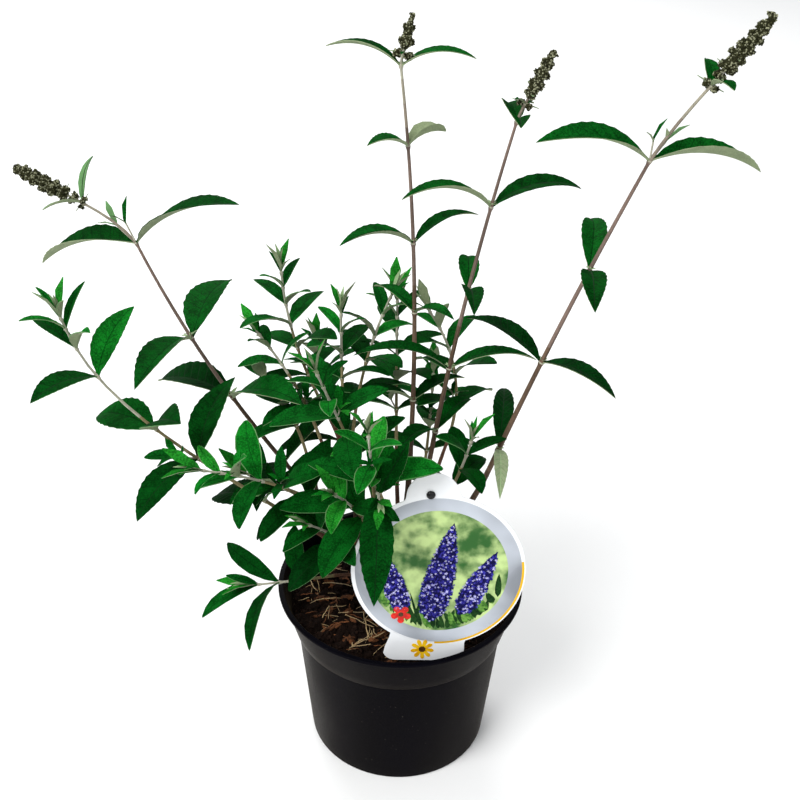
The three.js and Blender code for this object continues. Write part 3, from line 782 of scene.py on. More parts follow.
def bough_radii(shoot):
    """A bough's radii: nearly square young wood, with fine furrows, and swellings at its old nodes."""
    def radii_at(distance, angles):
        radius = SLIMMER * shoot.radius(distance) + swelling(distance, old_nodes(shoot), 1.5, 0.55)
        furrows = [lump_at(angle * 1.7 * radius, distance * 0.22, shoot.seed, 1.6) for angle in angles]
        return radius * (1 + 0.05 * np.cos(4 * angles)) + 0.2 * np.array(furrows)
    return radii_at


def twig_radii(shoot, stops):
    """A leafy stem's radii: a little squared, and swollen at its nodes."""
    swell = 0.45 + 0.12 * shoot.bud_radius

    def radii_at(distance, angles):
        radius = SLIMMER * shoot.radius(distance) + swelling(distance, stops, 1.3, swell)
        return radius * (1 + 0.06 * np.cos(4 * angles))
    return radii_at


def main_stem_radii(line):
    """The lobed flare at the compost, deep bark furrows, and a rounded, healed-over top."""
    def radii_at(distance, angles):
        part = distance / line.length
        lobes = 1 + 0.35 * np.cos(MAIN_STEM["lobes"] * angles)
        flare = MAIN_STEM["flare"] * math.exp(-6 * part) * lobes
        top = mix(MAIN_STEM["radius"], MAIN_STEM["top"], smoothstep(part, 0.85, 1))
        furrows = [lump_at(*on_circle(4, angle, distance * 0.18), 2.2, 3) for angle in angles]
        return (top + flare) * (1 + 0.09 * np.array(furrows)) - 0.3
    return radii_at


def spike_clusters(shoot):
    """The centre and radius of each bud cluster up a shoot's flower spike."""
    draws = seeded_draws(shoot.seed + 7)
    foot = shoot.line.length - shoot.spike
    whorls = max(3, round(shoot.spike / SPIKE["whorl_step"]))
    clusters = []
    for whorl in range(whorls):
        part = whorl / (whorls - 1)
        distance = foot + part * (shoot.spike - 2)
        across = across_stem(shoot.line.way(distance))
        size = cluster_size(part)
        count = 1 if whorl == whorls - 1 else SPIKE["per_whorl"]
        for i in range(count):
            out = round_axis(*across, math.radians(360 * i / count + SPIKE["twist"] * whorl))
            spread = 0 if count == 1 else SPIKE["spread"] * size
            radius = SPIKE["bud"] * size * mix(0.85, 1.15, next(draws))
            clusters.append((shoot.line.at(distance) + out * spread, radius, out, part))
    return clusters


def cluster_size(part):
    return mix(1, SPIKE["tip"], part**1.5)


# How much wider or narrower than the solid's a spike is, at its foot and at its tip.
SPIKE_SHAPES = {
    "left": (0.95, 1.2),
    "middle": (1.15, 0.55),
    "inner_right": (1.0, 0.8),
    "right": (1.05, 0.95),
}


def add_cluster_lobes(joined, shoot):
    """Each cluster of a spike as a few round lobes, on which its buds sit.

    The clusters stand apart at the spike's foot, and further up lobes close the gaps between them.
    """
    draws = seeded_draws(shoot.seed + 900)
    stem_way = shoot.line.way(shoot.line.length - 1)
    ball, faces = lathe([(0, -1), (0.72, -0.7), (1, 0), (0.72, 0.7), (0, 1)], 8)
    reach = shoot.spike - 2

    def on_axis(part):
        return shoot.line.at(shoot.line.length - 2 - reach * (1 - part))

    def taper(part):
        return mix(*SPIKE_SHAPES[shoot.name], part)

    for part in np.arange(0.3, 1.0, 2.2 / reach):
        size = SPIKE["bud"] * cluster_size(part) * taper(part)
        joined.add(ball * size * 0.95 + on_axis(part), faces)
    for centre, full, out, part in spike_clusters(shoot):
        side = unit(np.cross(out, stem_way) + 0.01)
        centre = on_axis(part) + (centre - on_axis(part)) * taper(part)
        radius = full * taper(part) * mix(0.6, 1, float(smoothstep(part, 0.1, 0.5)))
        for quarter in (0, 1):
            foot = centre - out * radius * 0.8 * quarter + side * radius * 0.75 * quarter
            for i in range(4 - quarter):
                aside = round_axis(side, stem_way, 2 * math.pi * (i / 4 + next(draws) * 0.15))
                middle = foot + aside * radius * 0.46 + out * radius * mix(-0.1, 0.25, next(draws))
                joined.add(ball * (radius * mix(0.44, 0.56, next(draws))) + middle, faces)


# ---- Leaves ----

# The coats of the leaves: five greens from the oldest leaves to the youngest, which also serve as painted
# light and painted shade by where a leaf sits, and what goes with them.
DEEP, DARK, GREEN, FRESH, BRIGHT, RIB_DARK, MARGIN, UNDERSIDE, FELT = range(9)

# How finely each kind of blade is made. `over` and `under` are the lines along its face and its underside,
# as shares of the half-width, and "rib" lines run beside the midrib. `quilt` is how far the blade rises
# between its veins, and `teeth` how deep its margin is cut, as a share of the half-width.
PLANS = {
    "long": dict(veins=10, over=(-1, -0.66, -0.33, "-rib", "rib", 0.33, 0.66, 1),
                 under=(1, 0.5, "rib", "-rib", -0.5, -1), quilt=0.3, teeth=0.03),
    "broad": dict(rows=8, over=(-1, -0.92, "-rib", "rib", 0.92, 1), under=(1, 0, -1), quilt=0.5, teeth=0.012),
    "small": dict(rows=5, over=(-1, 0, 1), under=(0,), quilt=0.0, teeth=0.0),
}
# In millimetres: half the width of the midrib and of the stalk, how deep the midrib is sunk in the face and
# how far it stands out below, and half the thickness of the blade and what its foot has more.
RIB_HALF = 0.34
STALK_HALF = 0.45
RIB_SUNK = 0.2
RIB_PROUD = 0.35
HALF_THICK = 0.27
FOOT_THICKER = 0.45
# As shares of a leaf's length: half a vein's width, how far veins slant, and how far the blade arches.
VEIN_HALF = 0.0035
VEIN_SLANT = 0.1
ARCH = 0.012


@lru_cache
def blade_rows(kind):
    """Where a blade's rows lie as shares of its length, how far each rises, and which lead into a vein."""
    plan = PLANS[kind]
    if "rows" in plan:
        levels = np.concatenate([[0.0, 0.055], np.linspace(0.12, 0.965, plan["rows"] - 2)])
        rise = np.where(np.arange(len(levels)) % 2 == 1, 1.0, -1.0)
        return levels, rise, np.zeros(len(levels), bool)
    levels, rise, vein = [0.0, 0.055, 0.1], [0.0, 0.0, 0.8], [False, False, False]
    gap = 0.84 / plan["veins"]
    for i in range(plan["veins"]):
        middle = 0.1 + gap * (i + 0.5)
        levels += [middle - VEIN_HALF, middle + VEIN_HALF, middle + gap / 2]
        rise += [-0.8, -0.8, 1.0]
        vein += [True, False, False]
    return np.array(levels), np.array(rise), np.array(vein)


@lru_cache
def plan_ring(kind):
    """A blade section's lines: shares of the half-width, rib lines, face or underside, and coats."""
    plan = PLANS[kind]
    shares, ribs, upper = [], [], []
    for line in plan["over"] + plan["under"]:
        ribs.append({"-rib": -1, "rib": 1}.get(line, 0))
        shares.append(0.0 if isinstance(line, str) else float(line))
        upper.append(len(upper) < len(plan["over"]))
    around = len(shares)
    coats = []
    for k in range(around):
        beside = (k + 1) % around
        if upper[k] and upper[beside]:
            rim = kind == "broad" and max(abs(shares[k]), abs(shares[beside])) == 1
            coats.append("rib" if ribs[k] and ribs[beside] else "rim" if rim else "face")
        else:
            coats.append("under" if upper[k] == upper[beside] or kind == "small" else "margin")
    return np.array(shares), np.array(ribs), np.array(upper), coats


def outline(part, kind):
    """A leaf's half-width at shares of its length: a short stalk, widest near the middle, and a point."""
    blade = np.clip((part - 0.045) / 0.955, 0, 1)
    if kind == "long":
        return blade**0.85 * (1 - blade) ** 1.05 / 0.2688
    return blade**0.74 * (1 - blade) ** 0.8 / 0.344


def add_leaf(joined, run, kind, tone, margin):
    """A closed thin blade along its run, with its rib, its quilting between the veins and its margin."""
    plan = PLANS[kind]
    shares, ribs, upper, ring_coats = plan_ring(kind)
    levels, rise, _ = blade_rows(kind)
    rows, around = len(levels), len(shares)
    share, rib, above = (np.tile(line, rows) for line in (shares, ribs, upper))
    part, rise = (np.repeat(line, around) for line in (levels, rise))
    part = np.clip(part + VEIN_SLANT * np.abs(share) * 4 * part * (1 - part), 0, 0.99)
    width = outline(part, kind)
    half = run.half_width * width + STALK_HALF * (1 - part)
    half = half * (1 + plan["teeth"] * rise * (np.abs(share) > 0.99) * (part > 0.1))
    across = share * half + rib * np.minimum(RIB_HALF, 0.34 * half)
    thick = HALF_THICK + FOOT_THICKER * np.exp(-part / 0.05)
    lift = np.where(above, thick, -thick)
    lift = lift + plan["quilt"] * rise * width * 4 * np.abs(share) * (1 - np.abs(share))
    lift = lift - np.where(rib != 0, np.where(above, RIB_SUNK, RIB_PROUD) * np.clip(width * 2, 0, 1), 0)
    lift = lift + run.length * ARCH * width * (1 - share**2)
    if kind == "small":
        across = share * half
        lift = np.where(share != 0, 0, lift)
    corners = np.concatenate([run.points(part, across, lift), run.tip()[None]])
    # The underside's faces are split along the same diagonal as the ones above them, so neither cuts through.
    below = [coat == "under" for coat in ring_coats] * (rows - 1) + [False]
    faces = [
        face[1:] + face[:1] if under else face
        for face, under in zip(ring_faces(rows, around, True, False), below)
    ]
    last = (rows - 1) * around
    faces += [(last + k, last + (k + 1) % around, rows * around) for k in range(around)]
    joined.add(corners, faces, blade_coats(kind, tone, margin))


@lru_cache
def blade_coats(kind, tone, margin):
    """The coats of a blade's faces: its rows, of which the veins are darker as painted shade, then its foot
    and its tip.
    """
    _, _, _, ring_coats = plan_ring(kind)
    _, _, vein = blade_rows(kind)
    coats = {"face": tone, "rib": rib_coat(tone, kind), "margin": margin, "under": UNDERSIDE,
             "rim": MARGIN if tone in (FRESH, BRIGHT) else tone}
    plain = [coats[coat] for coat in ring_coats]
    # The vein rows are painted shade: one green darker than the blade, or the ribs' colour on the darkest
    # leaves.
    coats["face"] = RIB_DARK if tone in (DEEP, RIB_DARK) else tone - 1
    vein_shade = [coats[coat] for coat in ring_coats]
    return [coat for in_vein in vein[:-1] for coat in (vein_shade if in_vein else plain)] + [coats["rib"]] + plain


def rib_coat(tone, kind):
    """Midribs lie deeper than the blade and are darker as painted shade, most on long leaves, and are paler
    only on felted young leaves.
    """
    if tone in (UNDERSIDE, FELT):
        return FELT
    deeper = tone - (2 if kind == "long" else 1)
    return RIB_DARK if deeper < DEEP else deeper


def leaf_tone(shoot, node, draw):
    """Young leaves near the tips are brightest and old ones darkest. On leafy shoots, leaves towards the
    front are lighter as painted light, and leaves low down are darker as painted shade.
    """
    root = shoot.line.at(node["distance"])
    age = 1 - min(1.0, node["part"])
    if shoot.flowering:
        tone = 1.5 - 1.1 * age
    else:
        # Painted light for leaves towards the front, and painted shade for leaves low down near the compost.
        front = smoothstep(-root[1], 10, 80)
        low = 1 - smoothstep(root[2], 180, 250)
        tone = 2.5 - 1.7 * age + 1.3 * float(front) - 1.5 * float(low)
    return int(np.clip(round(tone + mix(-0.8, 0.8, draw)), DEEP, BRIGHT))


def in_front_of_label(points):
    """Whether any point stands a little way in front of the label's face or cuts through it."""
    x, y, height = to_label(points).T
    on_disc = np.hypot(x, y) < LABEL["radius"] + 6
    on_crown = np.hypot(x - CROWN["x"], y - CROWN["y"]) < CROWN["radius"] + 3
    return bool(np.any((on_disc | on_crown) & (height > -3) & (height < 60)))


def in_pot(points):
    """Whether any point is inside the compost or through the pot's wall."""
    x, y, height = points.T
    return bool(np.any((height < COMPOST["level"] + 2) & (np.hypot(x, y) < POT["rim"] + 3)))


def is_clear(run):
    """Whether a small added leaf keeps off the label and out of the pot."""
    spine = spine_points(run, 0.2, 5)
    return not in_front_of_label(spine) and not in_pot(spine)


# Leaves that differ from their shoot's others, by shoot, node and sometimes side: shares of the usual
# length, width and fold, a further turn round the stem, and a coat of their own.
ODD_LEAVES = {
    ("left", 3, -1): dict(length=1.2, fold=0.8),
    ("left", 5, 1): dict(length=0.95, width=0.95, coat=MARGIN),
    ("left", 5, -1): dict(length=1.22, width=0.62, coat=MARGIN),
    ("middle", 2, 1): dict(width=0.8),
    ("middle", 2, -1): dict(length=0.88, width=0.95, coat=GREEN),
    ("middle", 3, 1): dict(length=0.82, width=1.7, fold=1.6, coat=UNDERSIDE),
    ("middle", 3, -1): dict(length=0.76, width=1.5, fold=0.8),
    ("middle", 4): dict(width=0.82, fold=0.9),
    ("inner_right", 1): dict(width=0.8),
    ("inner_right", 3): dict(width=0.78),
    ("inner_right", 4, 1): dict(length=0.8, width=1.5, turn=-16),
    ("inner_right", 4, -1): dict(length=0.76, width=1.2, turn=-34),
    ("inner_right", 5, 1): dict(length=0.6),
    ("inner_right", 5, -1): dict(length=0.4),
    ("right", 0, 1): dict(length=1.25, width=0.8),
    ("right", 0, -1): dict(width=0.55, coat=UNDERSIDE),
    ("right", 2, 1): dict(length=1.2),
    ("right", 3, 1): dict(fold=1.9),
    ("right", 5): dict(width=1.35, coat=GREEN),
    ("over_label", 0, 1): dict(length=0.62, width=0.7, coat=DARK),
    ("over_label", 0, -1): dict(coat=DARK),
    ("over_label", 1): dict(length=0.62, width=0.7, coat=DARK),
    # The lowest pair of this shoot, down by the pot's rim, takes dark and deep greens as painted shade.
    ("low_front_left", 0, 1): dict(length=0.65, width=0.7, turn=45, coat=DARK),
    ("low_front_left", 0, -1): dict(length=0.6, width=0.7, turn=90, coat=DEEP),
    ("low_front_left", 1, 1): dict(length=1.25, width=0.74, turn=-20, coat=DARK),
    ("low_front_left", 1, -1): dict(length=1.45, width=0.68, turn=-10, coat=DARK),
    ("low_front_left", 2, 1): dict(length=1.9, width=1.9, coat=GREEN),
}
for number in range(7):
    ODD_LEAVES["low_left", number] = dict(width=1.12, fold=0.8) if number < 4 else dict(width=0.7, fold=1.6)


def place_leaf(joined_by_kind, leaf, draws):
    """Adds one of the solids' leaves, with a twist, a sway and a fold of its own."""
    run, shoot, node, sign, turn = leaf
    place = (shoot.name, shoot.nodes.index(node))
    odd = ODD_LEAVES.get((*place, sign), ODD_LEAVES.get(place, {}))
    if "turn" in odd:
        run = shoot.line.leaf_run(node["distance"], shoot.blade, node["turn"] + turn + odd["turn"], sign,
                                  node["out"], run.length)
    tone = leaf_tone(shoot, node, next(draws))
    run.twist = math.radians(mix(-16, 16, next(draws)))
    run.sway = mix(-0.12, 0.12, next(draws))
    flattest, steepest = (0.85, 1.2) if shoot.flowering else (0.75, 1.5)
    run.fold *= mix(flattest, steepest, next(draws))
    margin = (UNDERSIDE if shoot.flowering else MARGIN) if next(draws) < 0.65 else tone
    if is_axil(leaf):
        return
    long_leaved = shoot.flowering or shoot.name in ("over_label", "low_left")
    kind = "long" if long_leaved and run.length > 38 else "broad"
    if run.length < 22:
        kind = "small"
    run.length *= odd.get("length", 1)
    run.half_width *= odd.get("width", 1) * (0.86 if shoot.flowering else mix(1, 0.66, node["part"] ** 3))
    run.fold *= odd.get("fold", 1)
    add_leaf(joined_by_kind[kind], run, kind, odd.get("coat", tone), margin)


# Leaves that have only just unfolded are narrower, more folded and straighter.
YOUNG_BLADE = dict(BLADE["leafy"], width=0.32, fold=22, curl=34)
# The pairs still clasped round a leafy shoot's tip: their size beside the last pair, how steep they are, how
# far below the tip they sit, and their blade.
TIP_PAIRS = (
    (1.5, 17, 2.2, dict(BLADE["leafy"], width=0.31, fold=24, curl=20)),
    (1.0, 6, 0.4, dict(BLADE["leafy"], width=0.2, fold=36, curl=14)),
)


def side_sprig(leaf, draws):
    """A little side shoot from above a leaf's foot: its stem line and its pairs of small leaves."""
    shoot, node = leaf.shoot, leaf.node
    direction = unit(shoot.line.way(node["distance"]) + leaf.run.outward * mix(0.5, 0.9, next(draws)))
    if shoot.flowering:
        length = mix(1.5, 2.5, next(draws))
        sizes = [mix(0.045, 0.07, next(draws)), 0.04]
    else:
        length = node["leaf"] * mix(0.12, 0.3, next(draws))
        sizes = [mix(0.42, 0.55, next(draws)), mix(0.24, 0.34, next(draws))]
    bearing, lean = bearing_and_lean(direction)
    line = StemLine(shoot.line.at(node["distance"] + 0.8)).grow(
        (bearing, lean), (bearing, max(0, lean - 12)), length, 1, 4)
    runs = []
    for size, quarter, place, out in zip(sizes, (90, 180), (0.72, 0.92), (42, 24)):
        distance = length * place - 0.05
        turn = node["turn"] + quarter + mix(-14, 14, next(draws))
        for sign in (1, -1):
            leaf_length = node["leaf"] * size * mix(0.85, 1.15, next(draws))
            runs.append(line.leaf_run(distance, YOUNG_BLADE, turn, sign, out, leaf_length))
    return line, runs


def tip_pairs(shoot, draws):
    """The youngest leaves, still clasped round a leafy shoot's tip."""
    runs = []
    node = shoot.nodes[-1]
    turn = node["turn"]
    for size, out, below, blade in TIP_PAIRS:
        turn += 90
        for sign in (1, -1):
            length = min(node["leaf"], 18) * size * mix(0.85, 1.15, next(draws))
            runs.append(shoot.line.leaf_run(shoot.line.length - below, blade, turn, sign, out, length))
    return runs


def is_axil(leaf):
    """Whether a leaf of the solids stands for the little shoot in a flowering shoot's topmost axil."""
    return leaf.shoot.flowering and leaf.node["part"] == AXIL_PART


def axil_shoot(leaf):
    """A thin stalk from the axil, with two young leaves at its end that reach as far as the solid's leaf."""
    run = leaf.run
    way = leaf.shoot.line.way(leaf.node["distance"])
    over_leaf = leaf.sign * round_axis(*across_stem(way), math.radians(leaf.shoot.nodes[-3]["turn"]))
    direction = unit(way + over_leaf * 0.34 + UP * 0.2)
    heads = bearing_and_lean(direction)
    line = StemLine(run.root).grow(heads, heads, run.length * 0.5, 1, 4)
    return line, [
        LeafRun(line.at(line.length - 0.1), direction, dict(YOUNG_BLADE, width=0.23), 30, sign, out,
                run.length * share)
        for sign, out, share in ((1, 12, 0.6), (-1, 24, 0.4))
    ]


def blade_samples(leaf):
    """Points spread over a leaf's blade, beyond its foot."""
    lines = (-0.8, -0.4, 0.0, 0.4, 0.8)
    rows = 14
    parts = np.repeat(np.linspace(0.1, 1, rows), len(lines))
    across = np.tile(lines, rows) * leaf.run.half_width * outline(parts, "broad")
    return leaf.run.points(parts, across, np.zeros(len(parts)))


def spine_points(run, start, count):
    return run.points(np.linspace(start, 1, count), np.zeros(count), np.zeros(count))


# How far a sprig's stem and its leaves keep from the middle lines of other leaves, in millimetres.
SPRIG_ROOM = 3.0


def meets_a_leaf(stem, runs, blades):
    """Whether a sprig's stem points, or one of its leaves, would grow through one of the blades."""
    points = [spine_points(run, 0.25, 6) for run in runs]
    gaps = np.concatenate([*stem, *points])[:, None] - blades[None]
    return bool(np.any((gaps**2).sum(axis=2) < SPRIG_ROOM**2))


@lru_cache
def finer_growth():
    """The sprigs and tip leaves that grow on from the solids' own stems, where there is room."""
    leaves = bush().leaves
    draws = seeded_draws(SEEDS["growth"])
    samples = [blade_samples(leaf) for leaf in leaves]

    def blades_beside(node):
        return np.concatenate([sample for leaf, sample in zip(leaves, samples) if leaf.node is not node])

    sprigs = []
    for leaf in leaves:
        node, flowering = leaf.node, leaf.shoot.flowering
        if is_axil(leaf):
            sprigs.append((*axil_shoot(leaf), DARK if leaf.sign < 0 else MARGIN))
            continue
        if node["part"] > 1 or (not flowering and (node["part"] > 0.7 or next(draws) < 0.7)):
            continue
        line, runs = side_sprig(leaf, draws)
        stem = [line.at(line.length * part)[None] for part in (0.5, 0.8, 1)]
        if all(is_clear(run) for run in runs) and not meets_a_leaf(stem, runs, blades_beside(node)):
            tone = leaf_tone(leaf.shoot, node, next(draws))
            sprigs.append((line, runs, FELT if flowering else tone))
    tips = []
    for shoot in bush().shoots:
        if not shoot.flowering:
            blades = blades_beside(shoot.nodes[-1])
            runs = enumerate(tip_pairs(shoot, draws))
            tips.append([(i, run) for i, run in runs if not meets_a_leaf([], [run], blades)])
    return sprigs, tips


def bracts(shoot, draws):
    """Narrow little leaves under the lowest clusters of a flower spike."""
    runs = []
    blade = dict(BLADE["leafy"], width=0.24)
    for _, _, out, part in spike_clusters(shoot):
        if part <= 0.45:
            distance = shoot.line.length - shoot.spike + part * (shoot.spike - 2) - 2
            side, above = across_stem(shoot.line.way(distance))
            turn = math.degrees(math.atan2(out @ above, out @ side))
            length = mix(8, 12, next(draws)) * (1 - 0.7 * part)
            runs.append(shoot.line.leaf_run(distance, blade, turn, 1, 50, length))
    return runs


def leaf_finishes(given):
    """The finish of each coat of the leaves."""
    # The greens have almost no gloss, so the light patches of their mottle are partly the leaves' own
    # mottling and partly painted sheen.
    finishes = [
        tinted(f"leaf_{name}", getattr(given, name), 0.48, 1.4, patch=10, grain=1.1, share=0.62,
               rough=(0.5, 0.64), relief=0.5, Specular_IOR_Level=0.008)
        for name in ("deep", "dark", "green", "fresh", "bright")
    ]
    for name, relief in (("rib", 0.1), ("margin", 0.0), ("underside", 0.3), ("felt", 0.2)):
        finishes.append(tinted(f"leaf_{name}", getattr(given, name), 0.84, 1.12, patch=7, grain=0.9,
                               share=0.6, rough=(0.7, 0.85), relief=relief, Sheen_Weight=0.04,
                               Sheen_Roughness=0.5, **DULL))
    return finishes


# ---- Pot ----

BAND_FOOT = POT["height"] - POT["band"]
BODY_TOP = BAND_FOOT - POT["ledge"]


def pot_radius(height):
    """The radius of the pot's outside at a height: its body, its ledge and its flared band."""
    if height < BODY_TOP:
        return mix(POT["base"], POT["body"], height / BODY_TOP)
    if height < BAND_FOOT:
        return mix(POT["body"], POT["band_foot"], (height - BODY_TOP) / POT["ledge"])
    return mix(POT["band_foot"], POT["rim"] - POT["lip"], (height - BAND_FOOT) / POT["band"])


def pot_wall(height):
    """The pot's inner wall at a height."""
    return pot_radius(height) - POT["wall"]


def pot_profile():
    """The pot's section: a rounded foot, a tapering body, the ledge, the flared band and the rolled lip."""
    rim, lip, height, floor, rounding = POT["rim"], POT["lip"], POT["height"], POT["floor"], 0.9
    outside = [(radius, 0) for radius in (0, 30, 48, 62, 66)]
    outside += arc(POT["base"] - 1.5, 1.5, 1.5, -90, 0, 5)
    outside += [(pot_radius(h), h) for h in (12, 30, 50, 70, 90, 102)]
    outside += [(POT["body"], BODY_TOP - 0.4), (POT["body"] + 0.4, BODY_TOP + 0.1)]
    outside += [(POT["band_foot"] - 0.5, BAND_FOOT - 0.5), (POT["band_foot"], BAND_FOOT + 0.3)]
    outside += [(pot_radius(h), h) for h in (118, 128, 137, 141)]
    outside += [(rim - lip + 0.3, height - lip - 0.7)]
    outside += arc(rim - rounding, height - lip + 0.5, rounding, -90, 0, 4)
    outside += arc(rim - rounding, height - rounding, rounding, 0, 90, 4)
    inside = [(pot_wall(height) + 0.5, height), (pot_wall(height), height - 0.5)]
    inside += [(pot_wall(h), h) for h in (136, 128, BAND_FOOT, BODY_TOP, 80, 50, 20)]
    inside += [(pot_wall(5) - 0.3, floor + 1), (pot_wall(5) - 1.5, floor)]
    return outside + inside + [(radius, floor) for radius in (62, 48, 20, 0)]


def drilled(piece, cutter):
    """Cuts one closed mesh out of another."""
    modifier = piece.modifiers.new("drilled", "BOOLEAN")
    modifier.operation = "DIFFERENCE"
    modifier.solver = "EXACT"
    modifier.object = cutter
    old = piece.data
    piece.data = applied(piece, modifier)
    bpy.data.meshes.remove(old)
    piece.data.name = piece.name
    drop(cutter)


def hole_cutters():
    joined = Joined()
    corners, faces = lathe([(0, -5), (POT["hole"], -5), (POT["hole"], 9), (0, 9)], 28)
    for i in range(POT["holes"]):
        turn = (i + 0.5) * 2 * math.pi / POT["holes"]
        joined.add(corners + on_circle(POT["hole_ring"], turn), faces)
    return joined.piece("hole_cutters")


# ---- Compost ----

# How far the compost keeps from the pot, and where its body starts above the pot's floor.
COMPOST_ROOM = 0.5
COMPOST_FOOT = 3.4


def compost_height(x, y):
    """The compost's top: lumpy, a little lower round the edge, and flat where the main stem stands."""
    radius = math.hypot(x, y)
    away = float(smoothstep(radius, COMPOST["seat"], 2 * COMPOST["seat"]))
    lumps = math.sin(x * 0.16 + 1) * math.cos(y * 0.19) + 0.6 * math.sin(x * 0.31 - y * 0.27)
    edge = (radius / POT["rim"]) ** 2
    return COMPOST["level"] - COMPOST["gap"] + away * (
        COMPOST["lump"] * (lumps - 1.6) - COMPOST["hollow"] * edge * 0.5)


def compost_shape(fine):
    """A closed body that fills the pot, with clods and crumbs in relief on top."""
    rings, around = 44, 132
    turns = [2 * math.pi * k / around for k in range(around)]
    reach = pot_wall(COMPOST["level"] - 8) - COMPOST_ROOM
    corners = [(0, 0, COMPOST_FOOT), (0, 0, compost_height(0, 0))]
    for ring in range(1, rings + 1):
        radius = reach * ring / rings
        away = float(smoothstep(radius, 8, 15))
        for turn in turns:
            x, y, _ = on_circle(radius, turn)
            clods = fine * away * (1.7 * lump_at(x, y, 3, 9) + 0.9 * lump_at(x, y, 40, 3.2))
            corners.append((x, y, compost_height(x, y) + clods))
    sides = (108, 60, COMPOST_FOOT)
    for height in sides:
        corners += [on_circle(pot_wall(height) - COMPOST_ROOM, turn, height) for turn in turns]
    return Joined(corners, mound_faces(rings + len(sides), around, 1, 2, 0))


def compost_top(reach):
    """An open helper sheet just over the compost, on which the loose bits are strewn."""
    corners, faces = [], []
    steps = 60
    for i in range(steps + 1):
        for j in range(steps + 1):
            x, y = (i / steps * 2 - 1) * reach, (j / steps * 2 - 1) * reach
            corners.append((x, y, compost_height(x, y) + 0.6))
            near = i * (steps + 1) + j
            if i < steps and j < steps and 13 < math.hypot(x + 1.4, y + 1.4) < reach - 3:
                faces.append((near, near + steps + 1, near + steps + 2, near + 1))
    return Joined(corners, faces).piece(f"compost_top_{reach}")


def rough_lump(name, size, seed, sides=6):
    """A crumb or chip about 1 mm across before it is sized: `size` is its length, width and height."""
    draws = seeded_draws(seed)
    corners, faces = lathe([(0, -0.5), (0.42, -0.34), (0.52, 0.06), (0.36, 0.4), (0, 0.5)], sides)
    jitter = np.array([[mix(0.72, 1.28, next(draws)) for _ in range(3)] for _ in corners])
    return Joined(corners * jitter * np.array(size), faces).piece(name)


def straw(name, length, width, bow, seed):
    """A curved flat fibre, lying along X."""
    draws = seeded_draws(seed)
    corners = []
    parts = [i / 5 * 2 - 1 for i in range(6)]
    for part in parts:
        y = bow * (1 - part**2) + mix(-0.7, 0.7, next(draws))
        z = 0.8 * (1 - part**2) + mix(-0.2, 0.3, next(draws))
        half = width / 2 * mix(0.7, 1.1, next(draws)) * (0.45 if abs(part) == 1 else 1)
        for degrees in (45, 135, 225, 315):
            turn = math.radians(degrees)
            corners.append((part * length / 2, y + math.cos(turn) * half, z + math.sin(turn) * width * 0.28))
    return Joined(corners, ring_faces(len(parts), 4)).piece(name)


# ---- Label ----

LABEL_TILT = math.radians(90 - LABEL["lean_back"])


def on_label(points):
    """Label points, drawn face up round the disc's middle, moved to where the label leans."""
    x, y, z = np.asarray(points, float).T
    sine, cosine = math.sin(LABEL_TILT), math.cos(LABEL_TILT)
    deep, high = y * cosine - z * sine + LABEL["y"], y * sine + z * cosine + LABEL["z"]
    return np.stack([x + LABEL["x"], deep, high], 1)


def to_label(points):
    """The other way round: points of the bush in the label's own flat place."""
    x, y, z = (np.asarray(points, float) - np.array([LABEL["x"], LABEL["y"], LABEL["z"]])).T
    sine, cosine = math.sin(LABEL_TILT), math.cos(LABEL_TILT)
    return np.stack([x, y * cosine + z * sine, -y * sine + z * cosine], 1)


def ray_to_disc(turn, x, y, radius):
    """How far a ray from the label's middle goes before it leaves a disc, or 0 where it misses."""
    along = x * math.cos(turn) + y * math.sin(turn)
    under_root = along**2 - (x * x + y * y - radius**2)
    return along + math.sqrt(under_root) if under_root > 0 and along > 0 else 0.0


def label_outline(turns):
    """The label's outline as distances from its middle: the disc, its crown and its foot tab."""
    half = TAB["width"] / 2 - TAB["radius"]
    reaches = []
    for turn in turns:
        reach = max(
            LABEL["radius"],
            ray_to_disc(turn, CROWN["x"], CROWN["y"], CROWN["radius"]),
            *(ray_to_disc(turn, TAB["x"] + side * half, TAB["y"], TAB["radius"]) for side in (-1, 1)),
        )
        if math.sin(turn) < -0.5:
            drop_to = (TAB["y"] - TAB["radius"]) / math.sin(turn)
            if abs(drop_to * math.cos(turn) - TAB["x"]) < half:
                reach = max(reach, drop_to)
        reaches.append(reach)
    return (np.roll(reaches, 1) + 2 * np.array(reaches) + np.roll(reaches, -1)) / 4


LABEL_WHITE, LABEL_SILVER, LABEL_YELLOW, LABEL_PICTURE, LABEL_LINE = range(5)
# The rings of the label's face: their radius, how far they are raised, and what is printed inside them.
LABEL_BANDS = (
    (10, 0, LABEL_PICTURE), (24, 0, LABEL_PICTURE), (38, 0, LABEL_PICTURE), (49.4, 0, LABEL_PICTURE),
    (49.7, 0.12, LABEL_SILVER), (54, 0.12, LABEL_SILVER), (59.2, 0.12, LABEL_SILVER),
    (59.5, 0, LABEL_LINE), (60.9, 0, LABEL_YELLOW),
)
# The rounded edge from front to back: how far inside the outline, and at which share of the thickness.
LABEL_EDGE = ((1.0, 1.0), (0.25, 0.95), (0.0, 0.7), (0.0, 0.3), (0.3, 0.0))


